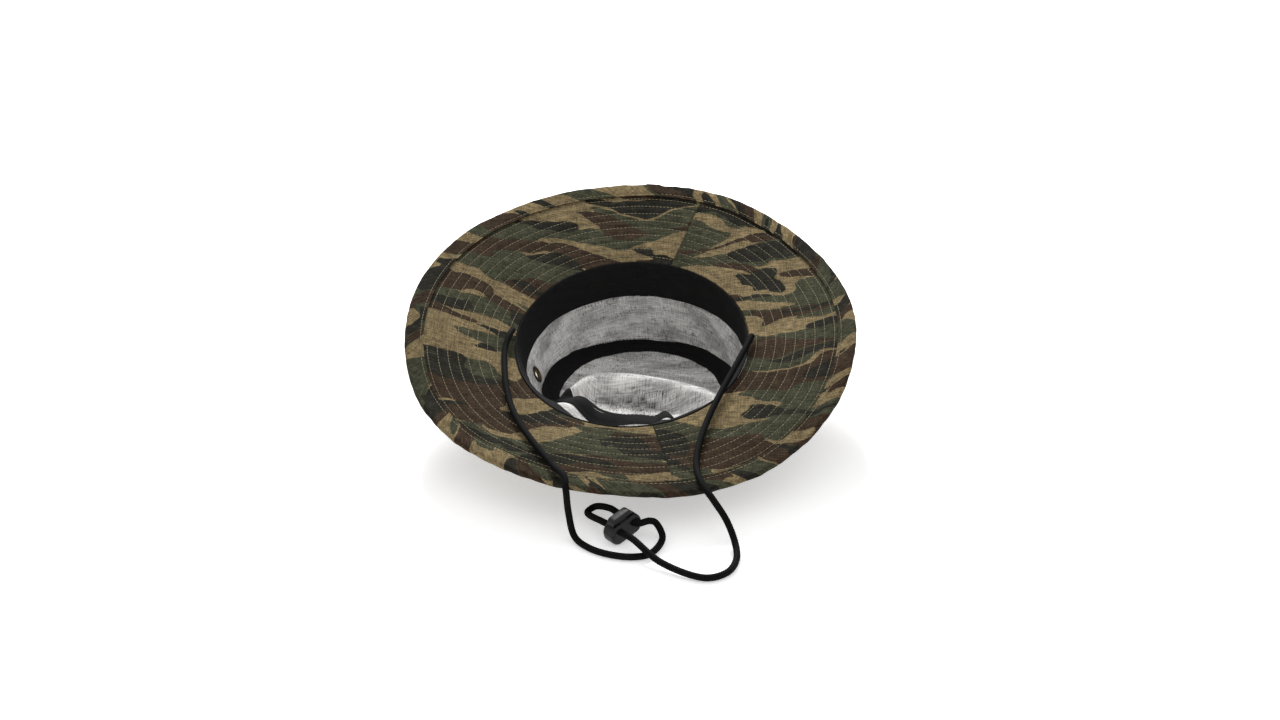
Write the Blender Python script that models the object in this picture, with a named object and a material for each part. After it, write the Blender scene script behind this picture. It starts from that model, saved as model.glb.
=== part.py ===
"""Boonie hat resting upside down on its crown, with its chin cord and spring cord lock.

Frame: metres, +Z up, floor at z = 0, origin under the middle of the brim's outline.
The wearer's front is -Y and their left is -X. A turn is an angle seen from above: 0 is the
right side, a quarter turn the back, half a turn the left side and three quarters the front.
"""
import math

import bmesh
import bpy
from mathutils import Matrix, Vector

MM = 0.001
GAP = 0.3 * MM
UP = Vector((0.0, 0.0, 1.0))

# Head opening: an oval, tilted so that its front edge is the low one.
HEAD_WIDTH = 172 * MM
HEAD_LENGTH = 195 * MM
OPENING_CENTRE = Vector((-1.5, 4.6, 59.0)) * MM
OPENING_TILT = math.radians(13.5)

# Brim: its slope over the opening's plane, in degrees, as (cosine, sine) parts of 0, 1, 2...
# waves a turn, which give the soft brim its drooping outline.
BRIM_WIDTH = 80 * MM
BRIM_SLOPE_WAVES = ((11.4, 0.0), (-5.4, 4.4), (1.7, -1.7), (0.6, 1.1), (1.8, -2.0))
BRIM_PLY = 0.7 * MM
BRIM_START = 0.8 * MM
BRIM_BODY_END = BRIM_WIDTH - 1.6 * MM
BRIM_JOIN_TURNS = (75.0, 285.0)
BINDING_WIDTH = 13 * MM
BINDING_THICK = 0.6 * MM

# Crown: the side wall runs from the opening down to the seam round the crown top, which has
# slid towards the back and is pushed in at the front.
CLOTH = 1.0 * MM
SEAM_CENTRE = Vector((3.5, 27.6)) * MM
SEAM_WIDTH = 142 * MM
SEAM_LENGTH = 164 * MM
SEAM_HEIGHT = 2.6 * MM
FRONT_DENT = (34 * MM, 272.0, 62.0)     # depth, middle turn and half-span in degrees
LEFT_DENT = (14 * MM, 222.0, 35.0)
LEFT_LIFT = (5 * MM, 222.0, 30.0)
WALL_BULGE = 3.0 * MM
BACK_BULGE = 1.5 * MM
TOP_HUB = Vector((3.5, 39.6)) * MM
RIDGE_HEIGHT = 16.5 * MM
RIDGE_CREST = Vector((-19.5, 26.6)) * MM
RIDGE_FRONT = 17 * MM
RIDGE_BACK = 40 * MM

# Bands sewn to the crown.
SWEATBAND_DOWN = 0.42
SWEATBAND_THICK = 0.8 * MM
SWEATBAND_RISE = 1.7 * MM
FOLIAGE_DOWN = (0.14, 0.42)
FOLIAGE_THICK = 0.8 * MM
TAPE_THICK = 0.6 * MM
TAPE_REACH = 10 * MM
TAPE_CORNER = 3.5 * MM
TOP_EDGE = CLOTH / 2 + 2 * GAP

# Vent eyelets: turns of their centres and how far down the wall they sit.
EYELET_TURNS = {
    "left_rear": 183.75,
    "left_front": 213.75,
    "right_rear": 356.25,
    "right_front": 326.25,
}
EYELET_DOWN = 0.64
EYELET_SIZE = 12.5 * MM
EYELET_BARREL = 7.6 * MM
EYELET_HOLE = 6.2 * MM
EYELET_THICK = 0.6 * MM
EYELET_SIDES = 12

# Chin cord and cord lock.
CORD = 4.5 * MM
CORD_STEP = 2.2 * CORD
LOCK_CENTRE = Vector((8.3, -179.0, 9.55)) * MM
LOCK_HEADING = math.radians(-45.0)      # the cord holes' direction in the floor plane
LOCK_TILT = math.radians(16.0)
LOCK_LENGTH = 25.5 * MM
LOCK_DEPTH = 11 * MM
LOCK_HEIGHT = 14 * MM
LOCK_HOLE = 5.2 * MM
LOCK_HOLE_SPACING = 11.2 * MM
LOCK_HOLE_HEIGHT = 9.8 * MM
LOCK_ROUNDING = 4 * MM
BUTTON_TOP = 18.5 * MM
LOCK_TRAVEL = 2.5 * MM
POCKET_LENGTH = 17.4 * MM
POCKET_DEPTH = 6.8 * MM
POCKET_FLOOR = 1.0 * MM
PLUNGER_BASE = 6.2 * MM
SPRING_RADIUS = 2.4 * MM
SPRING_WIRE = 0.45 * MM
SPRING_COILS = 3

TURNS = [360.0 * step / 48 for step in range(48)]
WALL_STATIONS = (0.0, 0.14, 0.42, 0.53, 0.75)
BRIM_STATIONS = (BRIM_START, 34 * MM, BRIM_WIDTH - BINDING_WIDTH, BRIM_BODY_END)
TOP_STATIONS = (0.25, 0.42, 0.56, 0.69)

# The chin cord's route in millimetres: from the left end of the sweatband's seam, over the
# brim and its edge to the floor, through the cord lock and back, and up to the right end.
CORD_ROUTE = (
    (-89.1, 2.4, 63.7), (-89.9, -7.5, 64.4), (-91.2, -22.9, 59.2), (-81.6, -73.3, 48.6),
    (-69.6, -103.6, 43.6), (-40.1, -152.7, 38.5), (-30.9, -166.7, 37.9), (-28.8, -175.0, 33.0),
    (-27.0, -177.6, 17.5), (-22.4, -185.0, 4.6), (-12.0, -195.0, 2.6), (3.5, -202.3, 2.6),
    (18.0, -203.4, 2.6), (28.0, -198.6, 2.6), (34.6, -181.0, 4.6), (29.2, -172.4, 10.3),
    (25.3, -174.4, 12.4), (22.2, -178.0, 13.4), (18.9, -180.6, 13.8), (15.1, -179.3, 13.8),
    (6.3, -170.4, 13.8), (4.1, -168.3, 13.8), (-1.5, -161.0, 12.7), (-13.0, -150.4, 7.0),
    (-17.4, -152.4, 4.2), (-5.3, -173.8, 10.0), (-1.4, -178.1, 10.7), (7.5, -186.9, 10.7),
    (16.0, -194.4, 10.6), (36.0, -211.8, 4.6), (64.5, -224.0, 2.6), (77.6, -217.0, 2.6),
    (83.2, -201.0, 2.6), (81.8, -184.8, 5.0), (75.6, -173.8, 15.0), (66.2, -168.0, 27.0),
    (59.5, -158.5, 31.3), (53.5, -132.3, 33.7), (58.0, -89.7, 41.6), (86.0, 6.0, 64.4),
)


def bump(turn, middle, half_span):
    """1 at the middle turn, falling smoothly to 0 at half_span degrees on either side."""
    away = abs((turn - middle + 180.0) % 360.0 - 180.0)
    if away >= half_span:
        return 0.0
    return math.cos(math.pi / 2 * away / half_span) ** 2


def smooth(value):
    value = min(max(value, 0.0), 1.0)
    return value * value * (3 - 2 * value)


# The opening and the brim -------------------------------------------------------------------
ACROSS = Vector((1.0, 0.0, 0.0))
ALONG = Vector((0.0, math.cos(OPENING_TILT), math.sin(OPENING_TILT)))
OPENING_NORMAL = Vector((0.0, -math.sin(OPENING_TILT), math.cos(OPENING_TILT)))


def opening_point(turn):
    angle = math.radians(turn)
    across = ACROSS * (HEAD_WIDTH / 2 * math.cos(angle))
    return OPENING_CENTRE + across + ALONG * (HEAD_LENGTH / 2 * math.sin(angle))


def opening_outward(turn):
    angle = math.radians(turn)
    outward = ACROSS * (math.cos(angle) / HEAD_WIDTH) + ALONG * (math.sin(angle) / HEAD_LENGTH)
    return outward.normalized()


def brim_slope(turn):
    angle = math.radians(turn)
    waves = enumerate(BRIM_SLOPE_WAVES)
    return math.radians(sum(c * math.cos(n * angle) + s * math.sin(n * angle) for n, (c, s) in waves))


def brim_point(turn, out, lift=0.0):
    """A point on the brim: out is measured from the opening, lift up from its middle layer."""
    slope = brim_slope(turn)
    outward = opening_outward(turn)
    along = outward * math.cos(slope) + OPENING_NORMAL * math.sin(slope)
    above = OPENING_NORMAL * math.cos(slope) - outward * math.sin(slope)
    return opening_point(turn) + along * out + above * lift


# The crown ----------------------------------------------------------------------------------
def seam_point(turn):
    """A point on the seam that joins the side wall to the crown top."""
    angle = math.radians(turn)
    dent = sum(depth * bump(turn, middle, span) for depth, middle, span in (FRONT_DENT, LEFT_DENT))
    lift, middle, span = LEFT_LIFT
    return Vector((
        SEAM_CENTRE.x + SEAM_WIDTH / 2 * math.cos(angle),
        SEAM_CENTRE.y + SEAM_LENGTH / 2 * math.sin(angle) + dent,
        SEAM_HEIGHT + lift * bump(turn, middle, span),
    ))


def wall_middle(turn, down):
    """The side wall's middle surface; down is 0 at the opening and 1 at the seam."""
    high, low = opening_point(turn), seam_point(turn)
    tangent = OPENING_NORMAL.cross(opening_outward(turn))
    outward = (low - high).cross(tangent).normalized()
    bulge = WALL_BULGE + BACK_BULGE * math.sin(math.radians(turn))
    return high.lerp(low, down) + outward * (bulge * math.sin(math.pi * down))


def wall_point(turn, down, inset=0.0):
    """A point at a distance inside (or, below 0, outside) the wall's middle surface."""
    step = 0.01
    around = wall_middle(turn + 50 * step, down) - wall_middle(turn - 50 * step, down)
    downward = wall_middle(turn, down + step) - wall_middle(turn, down - step)
    return wall_middle(turn, down) + around.cross(downward).normalized() * inset


def down_from_seam(turn, distance):
    return 1.0 - distance / (seam_point(turn) - opening_point(turn)).length


def ridge(x, y):
    """Height of the buckled fold that crosses the crown top from side to side."""
    from_middle = (x - RIDGE_CREST.x) / MM
    past_left_end = max(0.0, (-27.5 * MM - x) / MM)
    crest = RIDGE_CREST.y - (0.0042 * from_middle ** 2 + 0.055 * past_left_end ** 2) * MM
    reach = RIDGE_BACK if y > crest else RIDGE_FRONT
    away = min(abs(y - crest) / reach, 1.0)
    return RIDGE_HEIGHT * math.cos(math.pi / 2 * away) ** 2


def top_point(turn, share, lift=0.0):
    """A point on the crown top: share is 0 at its hub and 1 at the seam."""
    rim = seam_point(turn)
    flat = TOP_HUB.lerp(rim.xy, share)
    height = CLOTH / 2 + (rim.z - CLOTH / 2) * smooth((share - 0.85) / 0.15)
    height += ridge(flat.x, flat.y) * (1 - share ** 10)
    return Vector((flat.x, flat.y, height + lift))


def share_from_seam(turn, distance):
    return 1.0 - distance / (seam_point(turn).xy - TOP_HUB).length


# Mesh tools ---------------------------------------------------------------------------------
def material(name, colour, roughness, metallic=0.0):
    finish = bpy.data.materials.new(name)
    finish.use_nodes = True
    shader = finish.node_tree.nodes["Principled BSDF"]
    shader.inputs["Base Color"].default_value = (*colour, 1.0)
    shader.inputs["Roughness"].default_value = roughness
    shader.inputs["Metallic"].default_value = metallic
    return finish


def add_object(name, shape, finish):
    """Turn a bmesh into a named object whose faces point out."""
    bmesh.ops.recalc_face_normals(shape, faces=shape.faces)
    mesh = bpy.data.meshes.new(name)
    shape.to_mesh(mesh)
    shape.free()
    mesh.shade_smooth()
    mesh.set_sharp_from_angle(angle=math.radians(35))
    mesh.materials.append(finish)
    thing = bpy.data.objects.new(name, mesh)
    bpy.context.collection.objects.link(thing)
    return thing


def sweep(name, sections, closed, finish):
    """A solid through a row of cross-sections, each a closed loop of points."""
    shape = bmesh.new()
    rings = [[shape.verts.new(point) for point in section] for section in sections]
    pairs = list(zip(rings, rings[1:]))
    if closed:
        pairs.append((rings[-1], rings[0]))
    else:
        shape.faces.new(rings[0])
        shape.faces.new(reversed(rings[-1]))
    for near, far in pairs:
        for corner in range(len(near)):
            after = (corner + 1) % len(near)
            add_quad(shape, near[corner], near[after], far[after], far[corner],
                     flip=corner >= len(near) // 2)
    return add_object(name, shape, finish)


def add_quad(shape, a, b, c, d, flip=False):
    """Two triangles, split from a to c, or from b to d where flip is set.

    A strip's upper side runs back over its under side, so it flips its split: stacked layers of
    cloth then bend along the same lines and keep their gap.
    """
    if flip:
        a, b, c, d = b, c, d, a
    shape.faces.new((a, b, c))
    shape.faces.new((a, c, d))


def strip(points_under, points_over):
    """Cross-section of a cloth strip: along its under side and back along its upper side."""
    return [*points_under, *reversed(points_over)]


def cut(thing, cutter):
    """Cut a hidden guide object out of a piece."""
    cutter.hide_render = True
    cutter.display_type = "WIRE"
    boolean = thing.modifiers.new("cut_" + cutter.name, "BOOLEAN")
    boolean.object = cutter
    boolean.operation = "DIFFERENCE"


# Cloth pieces -------------------------------------------------------------------------------
def brim_section(turn, low, high):
    under = [brim_point(turn, out, low) for out in BRIM_STATIONS]
    over = [brim_point(turn, out, high) for out in BRIM_STATIONS]
    return strip(under, over)


def build_brim(camo, stiffener):
    step = BRIM_PLY + GAP
    half = BRIM_PLY / 2
    gap_turn = 0.1
    first, second = BRIM_JOIN_TURNS
    spans = {"left": (first, second), "right": (second - 360.0, first)}
    for layer, middle in (("inner", step), ("outer", -step)):
        for side, (start, end) in spans.items():
            turns = [start + 7.5 * count for count in range(round((end - start) / 7.5) + 1)]
            turns[0] += gap_turn
            turns[-1] -= gap_turn
            sections = [brim_section(turn, middle - half, middle + half) for turn in turns]
            sweep(f"brim_{layer}_ply_{side}", sections, False, camo)
    sections = [brim_section(turn, -half, half) for turn in TURNS]
    sweep("brim_interlining", sections, True, stiffener)


def build_binding(camo):
    """A folded tape over the raw edge of the brim's plies."""
    inside = 1.5 * BRIM_PLY + 2 * GAP
    outside = inside + BINDING_THICK
    inner_end = BRIM_WIDTH - BINDING_WIDTH
    bend = BRIM_WIDTH - 1.5 * MM
    nose = BRIM_WIDTH - BINDING_THICK
    sections = []
    for turn in TURNS:
        face = ((inner_end, inside), (bend, inside), (nose, inside / 2))
        back = ((inner_end, outside), (bend, outside), (BRIM_WIDTH, outside / 2))
        under = [brim_point(turn, *spot) for spot in face]
        under += [brim_point(turn, out, -lift) for out, lift in reversed(face)]
        over = [brim_point(turn, *spot) for spot in back]
        over += [brim_point(turn, out, -lift) for out, lift in reversed(back)]
        sections.append(strip(under, over))
    sweep("brim_edge_binding", sections, True, camo)


def build_wall(camo):
    sections = []
    for turn in TURNS:
        downs = [*WALL_STATIONS, down_from_seam(turn, TAPE_REACH)]
        downs += [down_from_seam(turn, TAPE_CORNER), 1.0]
        outer = [wall_point(turn, down, -CLOTH / 2) for down in downs]
        inner = [wall_point(turn, down, CLOTH / 2) for down in downs]
        sections.append(strip(outer, inner))
    return sweep("crown_side_panel", sections, True, camo)


def build_crown_top(camo):
    """The crown top: rings of points between the hub and the seam, on both faces."""
    shape = bmesh.new()
    faces = []
    for lift in (-CLOTH / 2, CLOTH / 2):
        rings = []
        for station in range(len(TOP_STATIONS) + 3):
            ring = []
            for turn in TURNS:
                edges = [TAPE_REACH, TAPE_CORNER, TOP_EDGE]
                shares = [*TOP_STATIONS, *(share_from_seam(turn, edge) for edge in edges)]
                ring.append(shape.verts.new(top_point(turn, shares[station], lift)))
            rings.append(ring)
        hub = shape.verts.new(top_point(0.0, 0.0, lift))
        faces.append((hub, rings))
    count = len(TURNS)
    for hub, rings in faces:
        for spot in range(count):
            shape.faces.new((hub, rings[0][spot], rings[0][(spot + 1) % count]))
            for near, far in zip(rings, rings[1:]):
                after = (spot + 1) % count
                add_quad(shape, far[spot], far[after], near[after], near[spot])
    low, high = faces[0][1][-1], faces[1][1][-1]
    for spot in range(count):
        after = (spot + 1) % count
        add_quad(shape, low[spot], high[spot], high[after], low[after])
    return add_object("crown_top_panel", shape, camo)


def tape_line(turn, lift):
    """Across the crown seam: down the wall's inside, round the corner and along the top."""
    line = [wall_point(turn, down_from_seam(turn, reach), lift) for reach in (TAPE_REACH, TAPE_CORNER)]
    reaches = (lift + GAP, TAPE_CORNER, TAPE_REACH)
    return line + [top_point(turn, share_from_seam(turn, reach), lift) for reach in reaches]


def build_bands(black, camo):
    near = CLOTH / 2 + GAP
    sweat, foliage, tape = [], [], []
    downs = [down for down in WALL_STATIONS if down <= SWEATBAND_DOWN]
    loops = [down for down in downs if down >= FOLIAGE_DOWN[0]]
    for turn in TURNS:
        rim = opening_point(turn) + OPENING_NORMAL * SWEATBAND_RISE
        inward = -opening_outward(turn)
        far = near + SWEATBAND_THICK
        face = [rim + inward * near] + [wall_point(turn, down, near) for down in downs]
        back = [rim + inward * far] + [wall_point(turn, down, far) for down in downs]
        sweat.append(strip(face, back))
        face = [wall_point(turn, down, -near) for down in loops]
        back = [wall_point(turn, down, -near - FOLIAGE_THICK) for down in loops]
        foliage.append(strip(face, back))
        tape.append(strip(tape_line(turn, near), tape_line(turn, near + TAPE_THICK)))
    sweep("sweatband", sweat, True, black)
    sweep("foliage_loop_band", foliage, True, camo)
    sweep("crown_seam_tape", tape, True, black)


# Vent eyelets -------------------------------------------------------------------------------
def eyelet_matrix(turn):
    """Placement on the wall: local +Z points into the crown, origin on the middle surface."""
    middle = wall_middle(turn, EYELET_DOWN)
    half = 360.0 / 96
    corners = [wall_middle(turn + side * half, down) for side in (-1, 1) for down in (0.53, 0.75)]
    around = corners[2] + corners[3] - corners[0] - corners[1]
    downward = corners[1] + corners[3] - corners[0] - corners[2]
    inward = around.cross(downward).normalized()
    centre = sum(corners, Vector()) / 4
    centre += (middle - centre).project(downward)
    across = around.normalized()
    upward = inward.cross(across)
    basis = Matrix((across, upward, inward)).transposed().to_4x4()
    return Matrix.Translation(centre) @ basis


def turned(name, profile, sides, finish):
    """A ring turned from a closed profile of (radius, height) corners."""
    sections = []
    for side in range(sides):
        angle = 2 * math.pi * side / sides
        ray = Vector((math.cos(angle), math.sin(angle), 0.0))
        sections.append([ray * radius + UP * height for radius, height in profile])
    return sweep(name, sections, True, finish)


def build_eyelets(brass, wall):
    outer, barrel, hole = EYELET_SIZE / 2, EYELET_BARREL / 2, EYELET_HOLE / 2
    seat = CLOTH / 2 + 1.5 * GAP
    flange = ((hole, -seat - EYELET_THICK), (outer, -seat - EYELET_THICK), (outer, -seat),
              (barrel, -seat), (barrel, seat + EYELET_THICK), (hole, seat + EYELET_THICK))
    ring = ((barrel + GAP, seat), (outer, seat), (outer, seat + EYELET_THICK),
            (barrel + GAP, seat + EYELET_THICK))
    for place, turn in EYELET_TURNS.items():
        matrix = eyelet_matrix(turn)
        turned("vent_eyelet_" + place, flange, EYELET_SIDES, brass).matrix_world = matrix
        turned("vent_washer_" + place, ring, EYELET_SIDES, brass).matrix_world = matrix
        shape = bmesh.new()
        bmesh.ops.create_cone(shape, cap_ends=True, segments=EYELET_SIDES, depth=10 * MM,
                              radius1=barrel + GAP, radius2=barrel + GAP)
        cutter = add_object("hole_" + place, shape, brass)
        cutter.matrix_world = matrix
        cut(wall, cutter)


# Cord lock ----------------------------------------------------------------------------------
def block(name, low, high, finish):
    """A box between two corners."""
    shape = bmesh.new()
    low, high = Vector(low), Vector(high)
    size = high - low
    place = Matrix.Translation((low + high) / 2) @ Matrix.Diagonal((*size, 1.0))
    bmesh.ops.create_cube(shape, size=1.0, matrix=place)
    return add_object(name, shape, finish)


def bar(name, x, z, radius, length, sides, finish):
    """A round bar along Y through (x, z)."""
    shape = bmesh.new()
    place = Matrix.Translation((x, 0.0, z)) @ Matrix.Rotation(math.pi / 2, 4, "X")
    bmesh.ops.create_cone(shape, cap_ends=True, segments=sides, depth=length, radius1=radius,
                          radius2=radius, matrix=place)
    return add_object(name, shape, finish)


def soften(thing, width, segments):
    bevel = thing.modifiers.new("edges", "BEVEL")
    bevel.width = width
    bevel.segments = segments
    bevel.limit_method = "ANGLE"


def spring_sections():
    """A helical wire between the pocket's floor and the plunger."""
    low = POCKET_FLOOR + GAP + SPRING_WIRE / 2
    high = PLUNGER_BASE - GAP - SPRING_WIRE / 2
    steps = SPRING_COILS * 12
    sections = []
    for step in range(steps + 1):
        angle = 2 * math.pi * SPRING_COILS * step / steps
        ray = Vector((math.cos(angle), math.sin(angle), 0.0))
        middle = ray * SPRING_RADIUS + UP * (low + (high - low) * step / steps)
        corners = [(math.cos(math.tau * n / 6), math.sin(math.tau * n / 6)) for n in range(6)]
        sections.append([middle + (ray * a + UP * b) * (SPRING_WIRE / 2) for a, b in corners])
    return sections


def build_cord_lock(plastic, steel):
    anchor = bpy.data.objects.new("cord_lock", None)
    bpy.context.collection.objects.link(anchor)
    holes = Vector((math.cos(LOCK_HEADING), math.sin(LOCK_HEADING), 0.0))
    side = Vector((-holes.y, holes.x, 0.0)) * math.cos(LOCK_TILT) + UP * math.sin(LOCK_TILT)
    base = side.cross(-holes)
    turn = Matrix((side, -holes, base)).transposed()
    anchor.matrix_world = Matrix.Translation(LOCK_CENTRE) @ turn.to_4x4()

    drop = -LOCK_HEIGHT / 2
    half_length, half_depth = LOCK_LENGTH / 2, LOCK_DEPTH / 2
    body = block("cord_lock_body", (-half_length, -half_depth, 0),
                 (half_length, half_depth, LOCK_HEIGHT), plastic)
    soften(body, LOCK_ROUNDING, 3)
    pocket = block("pocket", (-POCKET_LENGTH / 2, -POCKET_DEPTH / 2, POCKET_FLOOR),
                   (POCKET_LENGTH / 2, POCKET_DEPTH / 2, LOCK_HEIGHT + 5 * MM), plastic)
    cut(body, pocket)
    room = GAP
    button = block("cord_lock_button",
                   (-POCKET_LENGTH / 2 + room, -POCKET_DEPTH / 2 + room, PLUNGER_BASE),
                   (POCKET_LENGTH / 2 - room, POCKET_DEPTH / 2 - room, BUTTON_TOP), plastic)
    soften(button, 0.8 * MM, 1)
    guides = [pocket]
    for name, x in (("left", -LOCK_HOLE_SPACING / 2), ("right", LOCK_HOLE_SPACING / 2)):
        hole = bar("cord_hole_" + name, x, LOCK_HOLE_HEIGHT, LOCK_HOLE / 2, 30 * MM, 12, plastic)
        cut(body, hole)
        half = LOCK_HOLE / 2
        slot = block("plunger_slot_" + name, (x - half, -10 * MM, LOCK_HOLE_HEIGHT - half),
                     (x + half, 10 * MM, LOCK_HOLE_HEIGHT + half + LOCK_TRAVEL), plastic)
        cut(button, slot)
        guides += [hole, slot]
    spring = sweep("cord_lock_spring", spring_sections(), False, steel)
    for piece in (body, button, spring, *guides):
        piece.parent = anchor
        piece.location = (0.0, 0.0, drop)


# Chin cord ----------------------------------------------------------------------------------
def between(near, far, start, end, at):
    return near + (far - near) * ((at - start) / (end - start))


def curve_point(a, b, c, d, share):
    """A point between b and c on the centripetal Catmull-Rom curve through four points."""
    k1 = math.sqrt((b - a).length)
    k2 = k1 + math.sqrt((c - b).length)
    k3 = k2 + math.sqrt((d - c).length)
    at = k1 + (k2 - k1) * share
    ab, bc, cd = between(a, b, 0.0, k1, at), between(b, c, k1, k2, at), between(c, d, k2, k3, at)
    return between(between(ab, bc, 0.0, k2, at), between(bc, cd, k1, k3, at), k1, k2, at)


def smooth_route(route, step):
    """Points about a step apart on a smooth curve through the route's own points."""
    points = [Vector(point) * MM for point in route]
    ends = [2 * points[0] - points[1], *points, 2 * points[-1] - points[-2]]
    line = []
    for a, b, c, d in zip(ends, ends[1:], ends[2:], ends[3:]):
        samples = max(1, round((c - b).length / step))
        line += [curve_point(a, b, c, d, sample / samples) for sample in range(samples)]
    return [*line, points[-1]]


def build_cord(black):
    line = smooth_route(CORD_ROUTE, CORD_STEP)
    curve = bpy.data.curves.new("chin_cord", "CURVE")
    curve.dimensions = "3D"
    curve.bevel_depth = CORD / 2
    curve.bevel_resolution = 2
    curve.use_fill_caps = True
    curve.materials.append(black)
    spline = curve.splines.new("POLY")
    spline.points.add(len(line) - 1)
    for spot, point in zip(spline.points, line):
        spot.co = (*point, 1.0)
    bpy.context.collection.objects.link(bpy.data.objects.new("chin_cord", curve))


def main():
    for thing in list(bpy.data.objects):
        bpy.data.objects.remove(thing, do_unlink=True)
    camo = material("camouflage_cotton", (0.18, 0.15, 0.09), 0.9)
    stiffener = material("brim_stiffener", (0.5, 0.48, 0.44), 0.95)
    black = material("black_twill", (0.012, 0.012, 0.013), 0.85)
    brass = material("antique_brass", (0.28, 0.2, 0.11), 0.4, 1.0)
    plastic = material("black_plastic", (0.02, 0.02, 0.022), 0.4)
    steel = material("spring_steel", (0.55, 0.55, 0.56), 0.3, 1.0)
    cord = material("black_braid", (0.013, 0.013, 0.014), 0.8)
    build_brim(camo, stiffener)
    build_binding(camo)
    wall = build_wall(camo)
    build_crown_top(camo)
    build_bands(black, camo)
    build_eyelets(brass, wall)
    build_cord_lock(plastic, steel)
    build_cord(cord)


main()
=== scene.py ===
"""Looks of the boonie hat: its cloth, trims, chin cord and cord lock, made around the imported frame.

Metres, +Z up, hat resting upside down on its crown. A turn is an angle in degrees seen from
above: 0 is the right side, 90 the back, 180 the left side and 270 the front.
"""
import math

import bpy
import numpy as np
from mathutils import Matrix, Vector, noise


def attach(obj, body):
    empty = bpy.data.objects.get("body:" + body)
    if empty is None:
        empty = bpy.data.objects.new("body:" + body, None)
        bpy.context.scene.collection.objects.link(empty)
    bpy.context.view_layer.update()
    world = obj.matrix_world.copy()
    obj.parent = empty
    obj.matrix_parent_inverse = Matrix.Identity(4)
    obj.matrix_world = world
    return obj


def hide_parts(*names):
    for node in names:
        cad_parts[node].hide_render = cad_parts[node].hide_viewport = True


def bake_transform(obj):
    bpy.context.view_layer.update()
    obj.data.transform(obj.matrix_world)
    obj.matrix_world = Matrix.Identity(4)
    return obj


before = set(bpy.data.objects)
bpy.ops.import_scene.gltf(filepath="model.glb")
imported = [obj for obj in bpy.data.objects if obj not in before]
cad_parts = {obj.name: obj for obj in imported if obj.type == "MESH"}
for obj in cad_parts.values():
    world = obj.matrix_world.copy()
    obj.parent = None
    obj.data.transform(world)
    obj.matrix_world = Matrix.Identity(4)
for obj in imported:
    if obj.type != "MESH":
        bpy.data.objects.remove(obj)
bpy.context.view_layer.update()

MM = 0.001
GAP = 0.3 * MM
UP = np.array([0.0, 0.0, 1.0])

# Camera, at the photograph's angle.
VIEW_AZIMUTH = math.radians(5.0)
VIEW_ELEVATION = math.radians(25.0)
VIEW_DISTANCE = 1.3
VIEW_TARGET = Vector((-0.0015, 0.0046, 0.058))
VIEW_LENS = 49.95
VIEW_SHIFT = (0.00625, -0.015625)

# Head opening and brim, as in the frame, with the small sags that the cloth adds.
HEAD_WIDTH = 172 * MM
HEAD_LENGTH = 195 * MM
OPENING_CENTRE = np.array([-1.5, 4.6, 59.0]) * MM
OPENING_TILT = math.radians(13.5)
OPENING_SAG = 2.0 * MM
BRIM_WIDTH = 80 * MM
BRIM_SLOPE_WAVES = ((11.4, 0.0), (-5.4, 4.4), (1.7, -1.7), (0.6, 1.1), (1.8, -2.0))
BRIM_DROOPS = ((-5.0, 145.0, 52.0), (-2.6, 163.0, 26.0), (-2.4, 92.0, 34.0), (0.8, 55.0, 28.0))
BRIM_TRIM = (0.03, 4.0, 75.0)
BRIM_PLY = 0.7 * MM
BRIM_START = 0.2 * MM
BRIM_BODY_END = BRIM_WIDTH - 1.6 * MM
BRIM_JOIN_TURNS = (75.0, 285.0)
BINDING_WIDTH = 13 * MM
FIRST_ROW = 5.4 * MM
ROW_PITCH = 7.35 * MM
ROWS = 9
QUILT_PUFF = 0.45 * MM

# Crown.
CLOTH = 1.0 * MM
SEAM_CENTRE = np.array([3.5, 27.6]) * MM
SEAM_WIDTH = 142 * MM
SEAM_LENGTH = 164 * MM
SEAM_HEIGHT = 2.6 * MM
FRONT_DENT = (34 * MM, 272.0, 62.0)
LEFT_DENT = (14 * MM, 222.0, 35.0)
SEAM_LIFTS = ((12 * MM, 232.0, 36.0), (5 * MM, 234.0, 15.0),
              (4.5 * MM, 266.0, 42.0), (8 * MM, 289.0, 9.0))
FRONT_SLUMP = (9 * MM, 258.0, 48.0)
WALL_BULGE = 3.0 * MM
BACK_BULGE = 1.5 * MM
TOP_HUB = np.array([3.5, 39.6]) * MM
RIDGE_HEIGHT = 16.5 * MM
RIDGE_CREST = np.array([-19.5, 26.6]) * MM
RIDGE_FRONT = 17 * MM
RIDGE_BACK = 40 * MM
SWEATBAND_DOWN = 0.4
SWEATBAND_SLACK = ((5.5 * MM, 344.0, 34.0), (3.5 * MM, 308.0, 32.0), (1.4 * MM, 207.0, 30.0))
SWEATBAND_THICK = 0.8 * MM
SWEATBAND_RISE = 1.7 * MM
FOLIAGE_DOWN = (0.14, 0.42)
FOLIAGE_THICK = 0.8 * MM
VALLEY_MIDDLE = 9 * MM
VALLEY_REACH = 15 * MM
TAPE_THICK = 0.6 * MM
TAPE_REACH = 10 * MM
TAPE_CORNER = 3.5 * MM
TAPE_TUCK = 2.8 * MM
TAPE_FRONT_TUCK = 4.6 * MM
TOP_EDGE = CLOTH / 2 + 2 * GAP

EYELET_TURNS = {
    "left_rear": 183.75,
    "left_front": 213.75,
    "right_rear": 356.25,
    "right_front": 326.25,
}
EYELET_DOWN = 0.64
EYELET_SIZE = 13.0 * MM
EYELET_BARREL = 8.0 * MM
EYELET_HOLE = 7.2 * MM

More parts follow.
